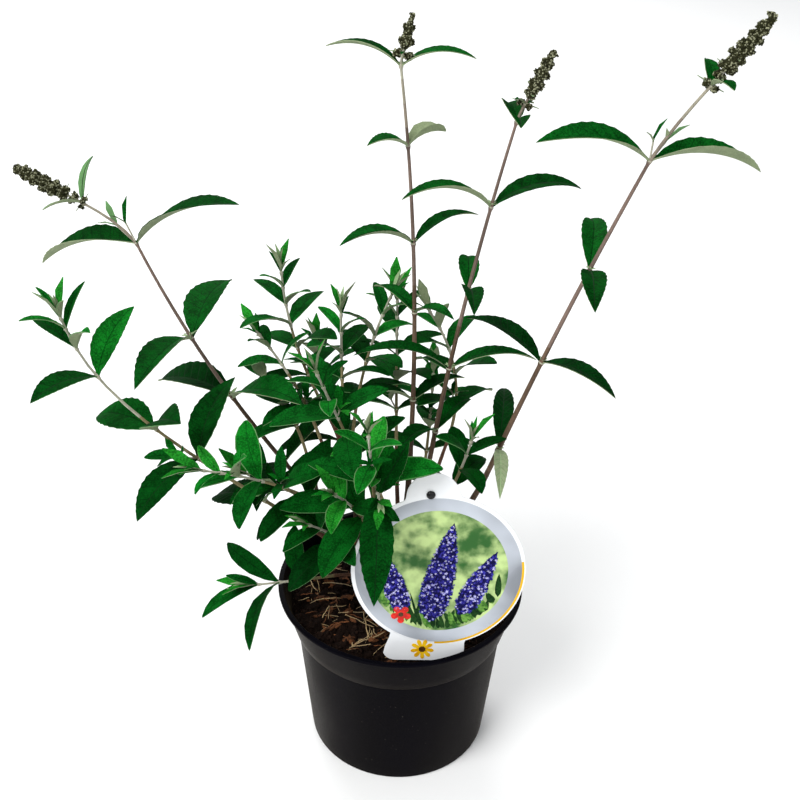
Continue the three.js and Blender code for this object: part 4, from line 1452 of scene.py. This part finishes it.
def label_plate():
    """The label's closed plate: picture disc, silver ring, yellow arc and white border."""
    around = 288
    thick = LABEL["thick"]
    turns = np.arange(around) * 2 * math.pi / around
    reaches = label_outline(turns)
    corners = [(0, 0, thick)]
    for radius, rise, _ in LABEL_BANDS:
        corners += [on_circle(radius, turn, thick + rise) for turn in turns]
    for inset, height in LABEL_EDGE:
        corners += [on_circle(reach - inset, turn, thick * height) for turn, reach in zip(turns, reaches)]
    corners += [on_circle(30, turn) for turn in turns] + [(0, 0, 0)]
    in_arc = (turns > math.radians(268)) | (turns < math.radians(8))
    coats = [LABEL_PICTURE] * around
    for _, _, coat in LABEL_BANDS[1:]:
        if coat in (LABEL_YELLOW, LABEL_LINE):
            coats += [LABEL_YELLOW if inside else LABEL_WHITE for inside in in_arc]
        else:
            coats += [coat] * around
    faces = mound_faces(len(LABEL_BANDS) + len(LABEL_EDGE) + 1, around, 0, 1, len(corners) - 1)
    coats += [LABEL_WHITE] * (len(faces) - len(coats))
    return on_label(corners), faces, coats


def add_flat(joined, points, low, high, coat):
    """A thin raised shape on the label, from its outline's points and the heights of its two faces."""
    flat = [(x, y, height) for height in (low, high) for x, y in points]
    joined.add(on_label(flat), ring_faces(2, len(points)), coat)


def petals(x, y, radius, count, waist, turn=0.0, points=6):
    """The outline of a flower with round petals."""
    steps = count * points
    corners = []
    for i in range(steps):
        angle = 2 * math.pi * i / steps
        reach = radius * (waist + (1 - waist) * abs(math.sin(angle * count / 2)) ** 0.6)
        corners.append((x + reach * math.cos(angle + turn), y + reach * math.sin(angle + turn)))
    return corners


def spear(start, end, half_width, bulge, steps):
    """The outline of a pointed leaf or a flower head between two points."""
    start, end = np.array(start, float), np.array(end, float)
    along = end - start
    aside = np.array([-along[1], along[0]]) / np.linalg.norm(along)
    parts = np.linspace(0, 1, steps)
    widths = half_width * (parts**bulge * (1 - parts) ** (1 - bulge * 0.4)) / 0.5
    right = [tuple(start + along * p - aside * w) for p, w in zip(parts, widths)]
    left = [tuple(start + along * p + aside * w) for p, w in zip(parts[-2:0:-1], widths[-2:0:-1])]
    return right + left


# The printed flower heads: where each starts and ends on the disc, and how wide it is.
HEADS = (((-6, -42), (10, 40), 12.5), ((-24, -34), (-40, 16), 9.0), ((16, -36), (41, 17), 9.5))
PRINT_DARK, PRINT_GREEN, PRINT_VIOLET, PRINT_RED, PRINT_YELLOW, PRINT_EYE = range(6)
# The printed blooms and their eyes: place, radius, petals, waist, turn, height of the two faces, and coat.
BLOOMS = (
    (-26, -36, 7.5, 5, 0.45, 0.3, -0.1, 0.42, PRINT_RED),
    (-26, -36, 2.0, 6, 0.8, 0.0, 0.1, 0.5, PRINT_EYE),
    (-10, -66, 8.6, 9, 0.42, 0.2, -0.1, 0.2, PRINT_YELLOW),
    (-10, -66, 2.6, 8, 0.85, 0.0, 0.1, 0.34, PRINT_EYE),
)


def label_art():
    """A plain garden motif in low relief: grass, flower heads, a red bloom and a yellow daisy."""
    joined = Joined()
    top = LABEL["thick"]
    draws = seeded_draws(SEEDS["grass"])
    blades = 46
    for i in range(blades):
        x = mix(-43, 43, i / (blades - 1)) + mix(-1.5, 1.5, next(draws))
        foot = -math.sqrt(48.5**2 - x * x) + 0.6
        lean = math.radians(mix(-30, 30, next(draws)))
        reach = mix(8, 24, next(draws)) * (1.5 if x < -8 else 0.9)
        end = (0.88 * x + reach * math.sin(lean), foot + reach * math.cos(lean))
        coat = PRINT_DARK if next(draws) < 0.55 else PRINT_GREEN
        blade = spear((0.98 * x, foot), end, mix(1.1, 3.2, next(draws)), 0.45, 7)
        add_flat(joined, blade, top - 0.1, top + 0.05 + 0.002 * i, coat)
    for start, end, width in HEADS:
        add_flat(joined, spear(start, end, width * 0.9, 0.4, 12), top - 0.1, top + 0.16, PRINT_VIOLET)
    for x, y, radius, count, waist, turn, low, high, coat in BLOOMS:
        add_flat(joined, petals(x, y, radius, count, waist, turn), top + low, top + high, coat)
    return joined


def head_sheets():
    """Open helper sheets in the shape of the printed flower heads, on which florets are strewn."""
    joined = Joined()
    for start, end, width in HEADS:
        flat = [(x, y, LABEL["thick"] + 0.17) for x, y in spear(start, end, width, 0.4, 12)]
        joined.add(on_label(flat), [tuple(range(len(flat)))])
    return joined.piece("head_sheets")


def floret(radius):
    """A four-petalled floret, lying face up along its own Z."""
    points = petals(0, 0, radius, 4, 0.35, 0, 3)
    count = len(points)
    corners = [(x, y, 0) for x, y in points] + [(x * 0.9, y * 0.9, 0.16) for x, y in points] + [(0, 0, 0.05)]
    faces = ring_faces(2, count, True, False)
    faces += [(k + count, (k + 1) % count + count, 2 * count) for k in range(count)]
    return Joined(corners, faces).piece("floret")


# ---- Stake ----

def stake_blade():
    """The stake behind the label: a thin flat spear with softened edges."""
    x, half, thick, soft = STUD["x"], STAKE["width"] / 2, STAKE["thick"], 1.2
    top = STUD["y"] + half
    foot = top - STAKE["depth"]
    shoulder = foot + STAKE["point"]
    points = [
        (x - half, top - soft), (x - half, shoulder), (x, foot), (x + half, shoulder),
        (x + half, top - soft), (x + half - soft, top), (x - half + soft, top),
    ]
    middle = np.array([x, (top + foot) / 2])
    corners = []
    for inset, height in ((0.5, 0.0), (0.0, 0.35), (0.0, thick - 0.35), (0.5, thick)):
        for point in points:
            place = np.array(point) + np.sign(middle - np.array(point)) * inset
            corners.append((*place, height - STAKE["gap"] - thick))
    return Joined(on_label(corners), ring_faces(4, len(points)))


def add_stud(joined):
    """The stud that comes through the label's hole, with its domed head."""
    face = LABEL["thick"] + STAKE["gap"]
    brim = 0.3
    profile = [(0, -1.3), (STUD["radius"], -1.3), (STUD["radius"], face), (STUD["head"] - 0.25, face)]
    rise = STUD["dome"] - brim
    for degrees in (0, 18, 36, 54, 72):
        angle = math.radians(degrees)
        profile.append((STUD["head"] * math.cos(angle), face + brim + rise * math.sin(angle)))
    corners, faces = lathe(profile + [(0, face + STUD["dome"])], 28)
    joined.add(on_label(corners + np.array([STUD["x"], STUD["y"], 0])), faces)


# ---- Settings ----

def colour_setting(name, description, code):
    return bpy.props.FloatVectorProperty(name=name, description=description, default=paint(code),
                                         subtype="COLOR", size=3, min=0, max=1)


def length_setting(name, description, millimetres):
    return bpy.props.FloatProperty(name=name, description=description, default=millimetres * MM,
                                   unit="LENGTH", min=0.0, precision=4)


class BushPotSettings(bpy.types.PropertyGroup):
    plastic: colour_setting("Plastic", "Colour of the pot's black plastic", "#040409")
    dust: colour_setting("Dust", "Colour of the dried splashes on the pot", "#4a4640")
    scratch_relief: length_setting("Scratch relief", "Depth of the moulded surface's fine grain", 0.12)


class BushCompostSettings(bpy.types.PropertyGroup):
    soil: colour_setting("Soil", "Colour of the moist compost", "#180f0b")
    chip: colour_setting("Bark chips", "Colour of the bark chips", "#633d25")
    straw: colour_setting("Straw", "Colour of the straw fibres", "#b89d72")
    clod_relief: bpy.props.FloatProperty(name="Clods", description="How rough the compost's top is",
                                         default=1.0, min=0, max=2)


class BushLabelSettings(bpy.types.PropertyGroup):
    border: colour_setting("Border", "Colour of the label's white border", "#eceef0")
    ring: colour_setting("Ring", "Colour of the silver ring", "#b9bfc8")
    arc: colour_setting("Arc", "Colour of the arc beside the ring", "#e8b40c")
    bloom: colour_setting("Flower heads", "Colour of the printed flower heads", "#37349a")
    floret: length_setting("Floret", "Radius of a printed floret", 1.15)


class BushStemSettings(bpy.types.PropertyGroup):
    bark: colour_setting("Bark", "Colour of the woody stems", "#46392f")
    red_bark: colour_setting("Red-brown bark", "Colour of the leafy shoots' bare boughs", "#5f4336")
    young_bark: colour_setting("Young bark", "Colour of the flowering shoots' boughs", "#574639")
    pale_twig: colour_setting("Pale twigs", "Colour of the flowering shoots' upper stems", "#705f56")
    olive_twig: colour_setting("Olive twigs", "Colour of the leafy shoots' stems", "#7b7152")
    felt: colour_setting("Felt", "Colour of the felted young stems", "#9b9986")


class BushLeafSettings(bpy.types.PropertyGroup):
    # The darker greens also serve as painted shade on leaves low in the bush and at its back, and the
    # brighter ones as painted light on leaves at its front.
    deep: colour_setting("Deep green", "Oldest leaves, deep in the bush", "#032c0a")
    dark: colour_setting("Dark green", "Old leaves", "#043a0d")
    green: colour_setting("Green", "Full-grown leaves", "#074a13")
    fresh: colour_setting("Fresh green", "Younger leaves", "#0d661a")
    bright: colour_setting("Bright green", "Leaves near the tips", "#1f7a22")
    # The ribs' colour is painted shade in the sunken midribs and veins of the darkest leaves.
    rib: colour_setting("Ribs", "Sunken ribs of the oldest leaves", "#022406")
    margin: colour_setting("Margins", "Felted edges of the young leaves", "#5c8553")
    underside: colour_setting("Underside", "Felted undersides", "#84916f")
    felt: colour_setting("Felt", "The youngest, clasped leaves", "#8ea67a")


class BushSpikeSettings(bpy.types.PropertyGroup):
    bud: colour_setting("Buds", "Colour of the closed flower buds", "#84856b")
    shaded_bud: colour_setting("Shaded buds", "Colour of the buds deeper in the clusters", "#363722")
    bud_length: length_setting("Bud length", "Length of one closed bud", 1.7)
    bud_width: length_setting("Bud width", "Width of one closed bud", 1.6)


class BushStageSettings(bpy.types.PropertyGroup):
    floor: colour_setting("Floor", "Colour of the studio floor", "#f4f4f3")
    key_power: bpy.props.FloatProperty(name="Key light", description="Power of the large soft key light",
                                       default=95, min=0, subtype="POWER")
    lens: bpy.props.FloatProperty(name="Lens", description="Focal length of the camera, in millimetres",
                                  default=54, min=10, max=300)


# ---- Operators ----

class BUSH_OT_pot(bpy.types.Operator):
    """Turns the nursery pot, with its flared band, rolled lip and floor holes"""
    bl_idname = "bush.pot"
    bl_label = "Pot"

    def execute(self, context):
        given = context.scene.bush_pot
        plastic = tinted("pot_plastic", given.plastic, 0.85, 1.35, patch=38, grain=0.7, share=0.35,
                         rough=(0.32, 0.48), relief=given.scratch_relief / MM, stretch=(1, 1, 0.3),
                         Specular_IOR_Level=0.018, Sheen_Weight=0.036, Sheen_Roughness=0.4,
                         Sheen_Tint=(1.0, 0.74, 0.42, 1.0))
        speckled(plastic, given.dust, size=1.6, sparseness=0.77)
        pot = Joined(*lathe(pot_profile(), 144)).piece("nursery_pot", [plastic])
        drilled(pot, hole_cutters())
        smoothed(pot.data, 32)
        settled(pot, "pot", "pot")
        return {"FINISHED"}


class BUSH_OT_compost(bpy.types.Operator):
    """Fills the pot with compost, and strews crumbs, bark chips and straw over it"""
    bl_idname = "bush.compost"
    bl_label = "Compost"

    def execute(self, context):
        given = context.scene.bush_compost
        soil = tinted("compost_soil", given.soil, 0.35, 1.3, patch=6, grain=1.4, share=0.6,
                      rough=(0.8, 0.98), relief=1.2, **DULL)
        crumb = tinted("compost_crumb", given.soil, 0.5, 2.2, patch=5, grain=1, share=0.5, rough=(0.8, 0.95),
                       relief=0.5, **DULL)
        chip = tinted("bark_chip", given.chip, 0.22, 1.2, patch=7, grain=1.1, share=0.5, rough=(0.7, 0.9),
                      relief=0.6, stretch=(1, 1, 3), **SATIN)
        fibre = tinted("straw_fibre", given.straw, 0.5, 1.15, patch=12, grain=1.5, share=0.4,
                       rough=(0.6, 0.8), relief=0.2)
        sliver = tinted("bark_splinter", given.chip, 0.4, 2.2, patch=14, grain=1.3, share=0.4,
                        rough=(0.6, 0.8), relief=0.2, **SATIN)
        bed = compost_shape(given.clod_relief).piece("compost_bed", [soil], 80)
        settled(bed, "compost", "potting_compost")
        wide, narrow = compost_top(88), compost_top(76)
        # Loose bits: name, sheet, shape and finish, then how many per square metre, seed, sizes, tilt, lift.
        kinds = (
            ("compost_crumbs", wide, rough_lump("crumb", (1.2, 1.0, 0.8), 5), crumb,
             90000, 3, (0.9, 3.4), 1.2, 0),
            ("compost_clods", narrow, rough_lump("clod", (1.3, 1.1, 0.8), 8, 8), soil,
             11000, 7, (3, 7), 0.9, 0),
            ("bark_chips", narrow, rough_lump("chip", (2.6, 1.0, 0.5), 21, 7), chip,
             7500, 11, (2.2, 5), 0.5, 0.6),
            ("straw_long", narrow, straw("long_straw", 26, 0.85, 1.6, 31), fibre,
             3000, 17, (0.5, 1.1), 0.22, 1.3),
            ("straw_short", narrow, straw("short_straw", 12, 0.6, -0.4, 47), fibre,
             4500, 23, (0.5, 1.2), 0.4, 1.0),
            ("bark_splinters", narrow, straw("splinter", 15, 1.0, 0.3, 53), sliver,
             8000, 29, (0.4, 1.15), 0.4, 0.9),
        )
        for name, sheet, shape, *strewing in kinds:
            settled(strewn(name, sheet, shape, *strewing), "compost", "potting_compost")
            drop(shape)
        drop(wide, narrow)
        return {"FINISHED"}


class BUSH_OT_label(bpy.types.Operator):
    """Cuts the round plant label with its crown and foot tab, and lays its plain garden motif on it"""
    bl_idname = "bush.label"
    bl_label = "Label"

    def execute(self, context):
        given = context.scene.bush_label
        card = dict(patch=30, grain=3, share=0.2, rough=(0.3, 0.36), **COATED)
        border = tinted("label_white", given.border, 0.97, 1, **card)
        ring = tinted("label_silver", given.ring, 0.45, 1.2, patch=70, grain=50, share=0.2,
                      rough=(0.26, 0.34), **COATED)
        arc_print = tinted("label_yellow", given.arc, 0.93, 1, **card)
        meadow = mottled("label_green", paint("#245a1e"), paint("#bcd48c"), patch=20, grain=7, share=0.3,
                         rough=(0.3, 0.36), **COATED)
        plate = Joined(*label_plate()).piece("label_plate", [border, ring, arc_print, meadow, border], 30)
        settled(plate, "label", "plant_label")

        base = tinted("print_violet", given.bloom, 0.08, 0.3, patch=5, grain=1, share=0.5, rough=(0.3, 0.4),
                      **INK)
        shade, greens, red, yellow, eye = (
            mottled(f"print_{name}", paint(dark), paint(light), patch=patch, grain=grain, share=share,
                    rough=(0.3, 0.4), **gloss)
            for name, dark, light, patch, grain, share, gloss in (
                ("shade", "#0f2a12", "#24481f", 8, 2, 0.5, INK),
                ("leaf", "#2c5a22", "#6d9e46", 8, 2, 0.5, INK),
                ("red", "#b3160f", "#e02a1c", 6, 2, 0.4, COATED),
                ("yellow", "#d69a08", "#f2c21d", 6, 2, 0.4, COATED),
                ("eye", "#3a2410", "#5c3c1c", 3, 1, 0.4, COATED),
            )
        )
        motif = label_art().piece("label_motif", [shade, greens, base, red, yellow, eye], 30)
        settled(motif, "label", "plant_label")

        sheets = head_sheets()
        shape = floret(given.floret / MM)
        # The florets: name, colour and its shades, florets per square metre, seed and lift.
        for name, colour, shades, density, seed, lift in (
            ("florets_deep", given.bloom, (0.06, 0.4), 420000, 61, 0),
            ("florets_violet", given.bloom, (0.6, 1.4), 300000, 64, 0.06),
            ("florets_light", paint("#bdbbe8"), (0.55, 1.15), 120000, 67, 0.12),
        ):
            tint = tinted(name, colour, *shades, patch=3, grain=1, share=0.5, rough=(0.35, 0.45), **INK)
            piece = strewn(name, sheets, shape, tint, density, seed, (0.55, 1.0), 0.12, lift)
            settled(piece, "label", "plant_label")
        drop(shape, sheets)
        return {"FINISHED"}


class BUSH_OT_stake(bpy.types.Operator):
    """Moulds the label's stake and its domed stud"""
    bl_idname = "bush.stake"
    bl_label = "Label stake"

    def execute(self, context):
        black = mottled("stake_plastic", paint("#060607"), paint("#101012"), patch=14, grain=1, share=0.4,
                        rough=(0.2, 0.32), relief=0.05, Specular_IOR_Level=0.3)
        joined = stake_blade()
        add_stud(joined)
        settled(joined.piece("label_stake_moulding", [black], 30), "stake", "label_stake")
        return {"FINISHED"}


class BUSH_OT_bark(bpy.types.Operator):
    """Grows the woody foot of the bush and its bare boughs, with the bark's relief"""
    bl_idname = "bush.bark"
    bl_label = "Woody stems"

    def execute(self, context):
        given = context.scene.bush_stems
        finishes = [
            tinted("old_bark", given.bark, 0.45, 1.3, patch=7, grain=1.3, share=0.6, rough=(0.75, 0.92),
                   relief=0.7, **BARK),
            tinted("young_bark", given.young_bark, 0.55, 1.2, patch=6, share=0.5, relief=0.25, **YOUNG_BARK),
            tinted("bark_scar", given.felt, 0.7, 1.1, patch=4, grain=1, share=0.5, rough=(0.7, 0.85),
                   relief=0.2),
            tinted("red_bark", given.red_bark, 0.6, 1.3, patch=8, share=0.5, relief=0.25, **YOUNG_BARK),
        ]
        old, young, scar, red = range(4)
        main_line, shoots, _ = bush()
        joined = Joined()
        stations = stations_through(0, [], main_line.length, 1.0)
        stem_tube(joined, main_line, stations, main_stem_radii(main_line), 30, lambda distance: old)
        for shoot in shoots:
            scars = old_nodes(shoot)

            def coat_at(distance, shoot=shoot, scars=scars):
                if min(abs(distance - place) for place in scars) < 0.5:
                    return scar
                if distance < 0.35 * shoot.bare:
                    return old
                return young if shoot.flowering else red

            stations = stations_through(0, scars, shoot.bare - 0.3, 1.7)
            stem_tube(joined, shoot.line, stations, bough_radii(shoot), 12, coat_at)
        names = ["main_stem"] + [f"bough_{shoot.name}" for shoot in shoots]
        settled(joined.piece("woody_stems", finishes, 60), "bark", *names)
        return {"FINISHED"}


class BUSH_OT_twigs(bpy.types.Operator):
    """Grows the leafy ends' stems, their swollen nodes and the little side sprigs' stems"""
    bl_idname = "bush.twigs"
    bl_label = "Twigs"

    def execute(self, context):
        given = context.scene.bush_stems
        finishes = [
            tinted("twig_brown", given.young_bark, 0.8, 1.5, patch=14, share=0.4, relief=0.2, **YOUNG_BARK),
            tinted("twig_felt", given.felt, 0.85, 1.2, patch=7, grain=0.9, share=0.5, rough=(0.75, 0.9),
                   relief=0.15, **FELTED),
            tinted("twig_node", given.felt, 0.75, 1.3, patch=4, grain=0.8, share=0.5, rough=(0.7, 0.9),
                   relief=0.15, **FELTED),
            tinted("twig_pale", given.pale_twig, 0.75, 1.25, patch=14, share=0.4, relief=0.2, **YOUNG_BARK),
            tinted("twig_olive", given.olive_twig, 0.75, 1.25, patch=12, grain=0.9, share=0.4,
                   rough=(0.65, 0.8), relief=0.2, **BARK),
        ]
        for share in (0.33, 0.67):
            tone = [mix(pale, felt, share) for pale, felt in zip(given.pale_twig, given.felt)]
            finishes.append(tinted("twig_turning", tone, 0.8, 1.22, patch=10, grain=0.9, share=0.45,
                                   rough=(0.65, 0.85), relief=0.2, **BARK))
        brown, felted, swollen, pale, olive, turning, nearly_felted = range(7)
        joined = Joined()
        for shoot in bush().shoots:
            stops = sorted({node["distance"] for node in shoot.nodes})
            # Where along the leafy part the stem's coat changes, from its foot to its tip.
            if shoot.flowering:
                changes = (0.42, 0.84, 0.9, 0.96) if shoot.name == "middle" else (0.42, 0.99, 1.12, 1.25)
                coats = (brown, pale, turning, nearly_felted, felted)
            else:
                changes, coats = (0.6,), (olive, felted)
            marks = [shoot.bare + (shoot.last_pair - shoot.bare) * change for change in changes]

            def coat_at(distance, stops=stops, marks=marks, coats=coats):
                if min(abs(distance - stop) for stop in stops) < 0.6:
                    return swollen
                return coats[sum(distance > mark for mark in marks)]

            end = shoot.line.length - (2 if shoot.flowering else 0)
            stations = stations_through(shoot.bare - 1.2, stops, end, 3.2)
            stem_tube(joined, shoot.line, stations, twig_radii(shoot, stops), 8, coat_at)
        sprigs, _ = finer_growth()
        for line, _, _ in sprigs:
            stem_tube(joined, line, np.linspace(0, line.length, 4),
                      lambda distance, angles: np.full(len(angles), 0.65), 5, lambda distance: felted)
        settled(joined.piece("twigs", finishes, 60), "bark", *mass_nodes())
        return {"FINISHED"}


class BUSH_OT_leaves(bpy.types.Operator):
    """Unfolds the leaves, dealing out their greens spray by spray"""
    bl_idname = "bush.leaves"
    bl_label = "Leaves"

    def execute(self, context):
        finishes = leaf_finishes(context.scene.bush_leaves)
        if not bush().leaves:
            raise RuntimeError("no leaf of the solids was found: the rule and the packed part differ")
        draws = seeded_draws(SEEDS["leaves"])
        joined = {kind: Joined() for kind in PLANS}
        for leaf in bush().leaves:
            place_leaf(joined, leaf, draws)
        sprigs, tips = finer_growth()
        for _, runs, tone in sprigs:
            for run in runs:
                young = tone if tone > BRIGHT else min(BRIGHT, tone + (next(draws) < 0.5))
                kind = "broad" if run.length > 24 else "small"
                add_leaf(joined[kind], run, kind, young, MARGIN if young > DARK else young)
        for runs in tips:
            for i, run in runs:
                coat = FELT if i > 1 and next(draws) < 0.8 else BRIGHT
                add_leaf(joined["small"], run, "small", coat, MARGIN)
        for shoot in bush().shoots:
            if shoot.flowering:
                for run in bracts(shoot, draws):
                    add_leaf(joined["small"], run, "small", FELT, MARGIN)
        for kind, name in (("long", "long_leaves"), ("broad", "broad_leaves"), ("small", "young_leaves")):
            settled(joined[kind].piece(name, finishes), "foliage", *mass_nodes())
        return {"FINISHED"}


class BUSH_OT_spikes(bpy.types.Operator):
    """Sets the closed buds on the clusters of the flower spikes"""
    bl_idname = "bush.spikes"
    bl_label = "Flower spikes"

    def execute(self, context):
        given = context.scene.bush_spikes
        # The cluster cores are painted shade: dark lobes in the shaded buds' colour, darkened further, that
        # fill the gaps between the buds.
        core = tinted("cluster_core", given.shaded_bud, 0.3, 0.7, patch=3, grain=1, share=0.5,
                      rough=(0.8, 0.95), relief=0.3, **DULL)
        joined = Joined()
        for shoot in bush().shoots:
            if shoot.flowering:
                add_cluster_lobes(joined, shoot)
        lobes = joined.piece("cluster_cores", [core], 180)
        length, width = given.bud_length / MM, given.bud_width / MM
        profile = [(0, -length * 0.35), (width * 0.36, -length * 0.2), (width * 0.5, length * 0.15),
                   (width * 0.34, length * 0.45), (0, length * 0.62)]
        bud = Joined(*lathe(profile, 5)).piece("bud")
        # The dark buds, in the shaded buds' colour, are painted shade deep in the clusters.
        # The buds: name, colour, buds per square metre, seed and sizes.
        for name, colour, density, seed, sizes in (
            ("buds_pale", given.bud, 210000, 71, (0.65, 0.95)),
            ("buds_dark", given.shaded_bud, 290000, 73, (0.6, 0.9)),
        ):
            finish = tinted(name, colour, 0.6, 1.4, patch=4, grain=0.8, share=0.6, rough=(0.7, 0.9),
                            relief=0.15, Specular_IOR_Level=0.08)
            piece = strewn(name, lobes, bud, finish, density, seed, sizes, 0.5)
            settled(piece, "foliage", *mass_nodes(True))
        drop(bud)
        settled(lobes, "foliage", *mass_nodes(True))
        return {"FINISHED"}


class BUSH_OT_stage(bpy.types.Operator):
    """Lays the pale studio floor and sets the soft lights and the camera"""
    bl_idname = "bush.stage"
    bl_label = "Stage"

    def execute(self, context):
        given = context.scene.bush_stage
        lay_floor(given.floor)
        for name, place, size, share in (
            ("key_light", (-1.5, -1.6, 2.6), 1.8, 1),
            ("fill_light", (1.2, -2.1, 1.9), 2.2, 0.17),
            ("back_light", (-0.6, 2.2, 2.2), 2.4, 0.6),
        ):
            soft_light(name, place, size, given.key_power * share)
        world = bpy.data.worlds.new("studio_air")
        world.use_nodes = True
        feed(world.node_tree, world.node_tree.nodes["Background"], {
            "Color": (0.95, 0.97, 1.0, 1.0), "Strength": 0.5})
        context.scene.world = world
        context.scene.view_settings.view_transform = "Standard"
        place_camera(context.scene, given.lens)
        return {"FINISHED"}


# ---- Stage ----

def lay_floor(colour):
    """A broad pale floor, a hair under the pot's foot."""
    finish = tinted("studio_floor", colour, 0.985, 1, patch=900, grain=300, share=0.3, rough=(0.7, 0.8))
    slab = lathe([(0, -40), (20000, -40), (20000, -0.2), (0, -0.2)], 48)
    Joined(*slab).piece("studio_floor", [finish], 30)


def soft_light(name, place, size, power):
    light = bpy.data.lights.new(name, "AREA")
    light.shape = "DISK"
    light.size = size
    light.energy = power
    lamp = linked(name, light)
    lamp.location = place
    towards = Vector((0, 0, 0.3)) - Vector(place)
    lamp.rotation_euler = towards.to_track_quat("-Z", "Y").to_euler()


CAMERA_PLACE = (-0.00955, -0.7209, 0.7604)
CAMERA_PITCH = 0.5586
CAMERA_YAW = 0.009
CAMERA_ROLL = 0.0198


def place_camera(scene, lens):
    """The camera: above and in front of the bush, looking down on it, very slightly rolled."""
    camera = bpy.data.cameras.new("camera")
    camera.lens = lens
    camera.sensor_width = 36
    camera.clip_start = 0.01
    camera.clip_end = 200
    right = Vector((math.cos(CAMERA_YAW), -math.sin(CAMERA_YAW), 0))
    level = Vector((math.sin(CAMERA_YAW), math.cos(CAMERA_YAW), 0))
    down = Vector((0, 0, -1))
    forward = level * math.cos(CAMERA_PITCH) + down * math.sin(CAMERA_PITCH)
    above = level * math.sin(CAMERA_PITCH) - down * math.cos(CAMERA_PITCH)
    x_axis = right * math.cos(CAMERA_ROLL) + above * math.sin(CAMERA_ROLL)
    y_axis = above * math.cos(CAMERA_ROLL) - right * math.sin(CAMERA_ROLL)
    turn = Matrix((x_axis, y_axis, -forward)).transposed().to_4x4()
    holder = linked("camera", camera)
    holder.matrix_world = Matrix.Translation(CAMERA_PLACE) @ turn
    scene.camera = holder


# ---- Panel ----

SETTINGS = (
    ("bush_pot", BushPotSettings),
    ("bush_compost", BushCompostSettings),
    ("bush_label", BushLabelSettings),
    ("bush_stems", BushStemSettings),
    ("bush_leaves", BushLeafSettings),
    ("bush_spikes", BushSpikeSettings),
    ("bush_stage", BushStageSettings),
)
OPERATORS = (BUSH_OT_pot, BUSH_OT_compost, BUSH_OT_label, BUSH_OT_stake, BUSH_OT_bark, BUSH_OT_twigs,
             BUSH_OT_leaves, BUSH_OT_spikes, BUSH_OT_stage)


class BUSH_PT_pieces(bpy.types.Panel):
    """Lists the bush's pieces and their settings"""
    bl_idname = "BUSH_PT_pieces"
    bl_label = "Potted butterfly bush"
    bl_space_type = "VIEW_3D"
    bl_region_type = "UI"
    bl_category = "Bush"

    def draw(self, context):
        for operator in OPERATORS:
            self.layout.operator(operator.bl_idname)
        for name, group in SETTINGS:
            box = self.layout.box()
            for setting in group.__annotations__:
                box.prop(getattr(context.scene, name), setting)


def register():
    for _, group in SETTINGS:
        bpy.utils.register_class(group)
    for name, group in SETTINGS:
        setattr(bpy.types.Scene, name, bpy.props.PointerProperty(type=group))
    for operator in OPERATORS:
        bpy.utils.register_class(operator)
    bpy.utils.register_class(BUSH_PT_pieces)


def unregister():
    bpy.utils.unregister_class(BUSH_PT_pieces)
    for operator in reversed(OPERATORS):
        bpy.utils.unregister_class(operator)
    for name, group in reversed(SETTINGS):
        delattr(bpy.types.Scene, name)
        bpy.utils.unregister_class(group)


def main():
    """Makes every piece in order."""
    register()
    bpy.ops.bush.pot()
    bpy.ops.bush.compost()
    bpy.ops.bush.label()
    bpy.ops.bush.stake()
    bpy.ops.bush.bark()
    bpy.ops.bush.twigs()
    bpy.ops.bush.leaves()
    bpy.ops.bush.spikes()
    bpy.ops.bush.stage()


if __name__ == "__main__":
    main()
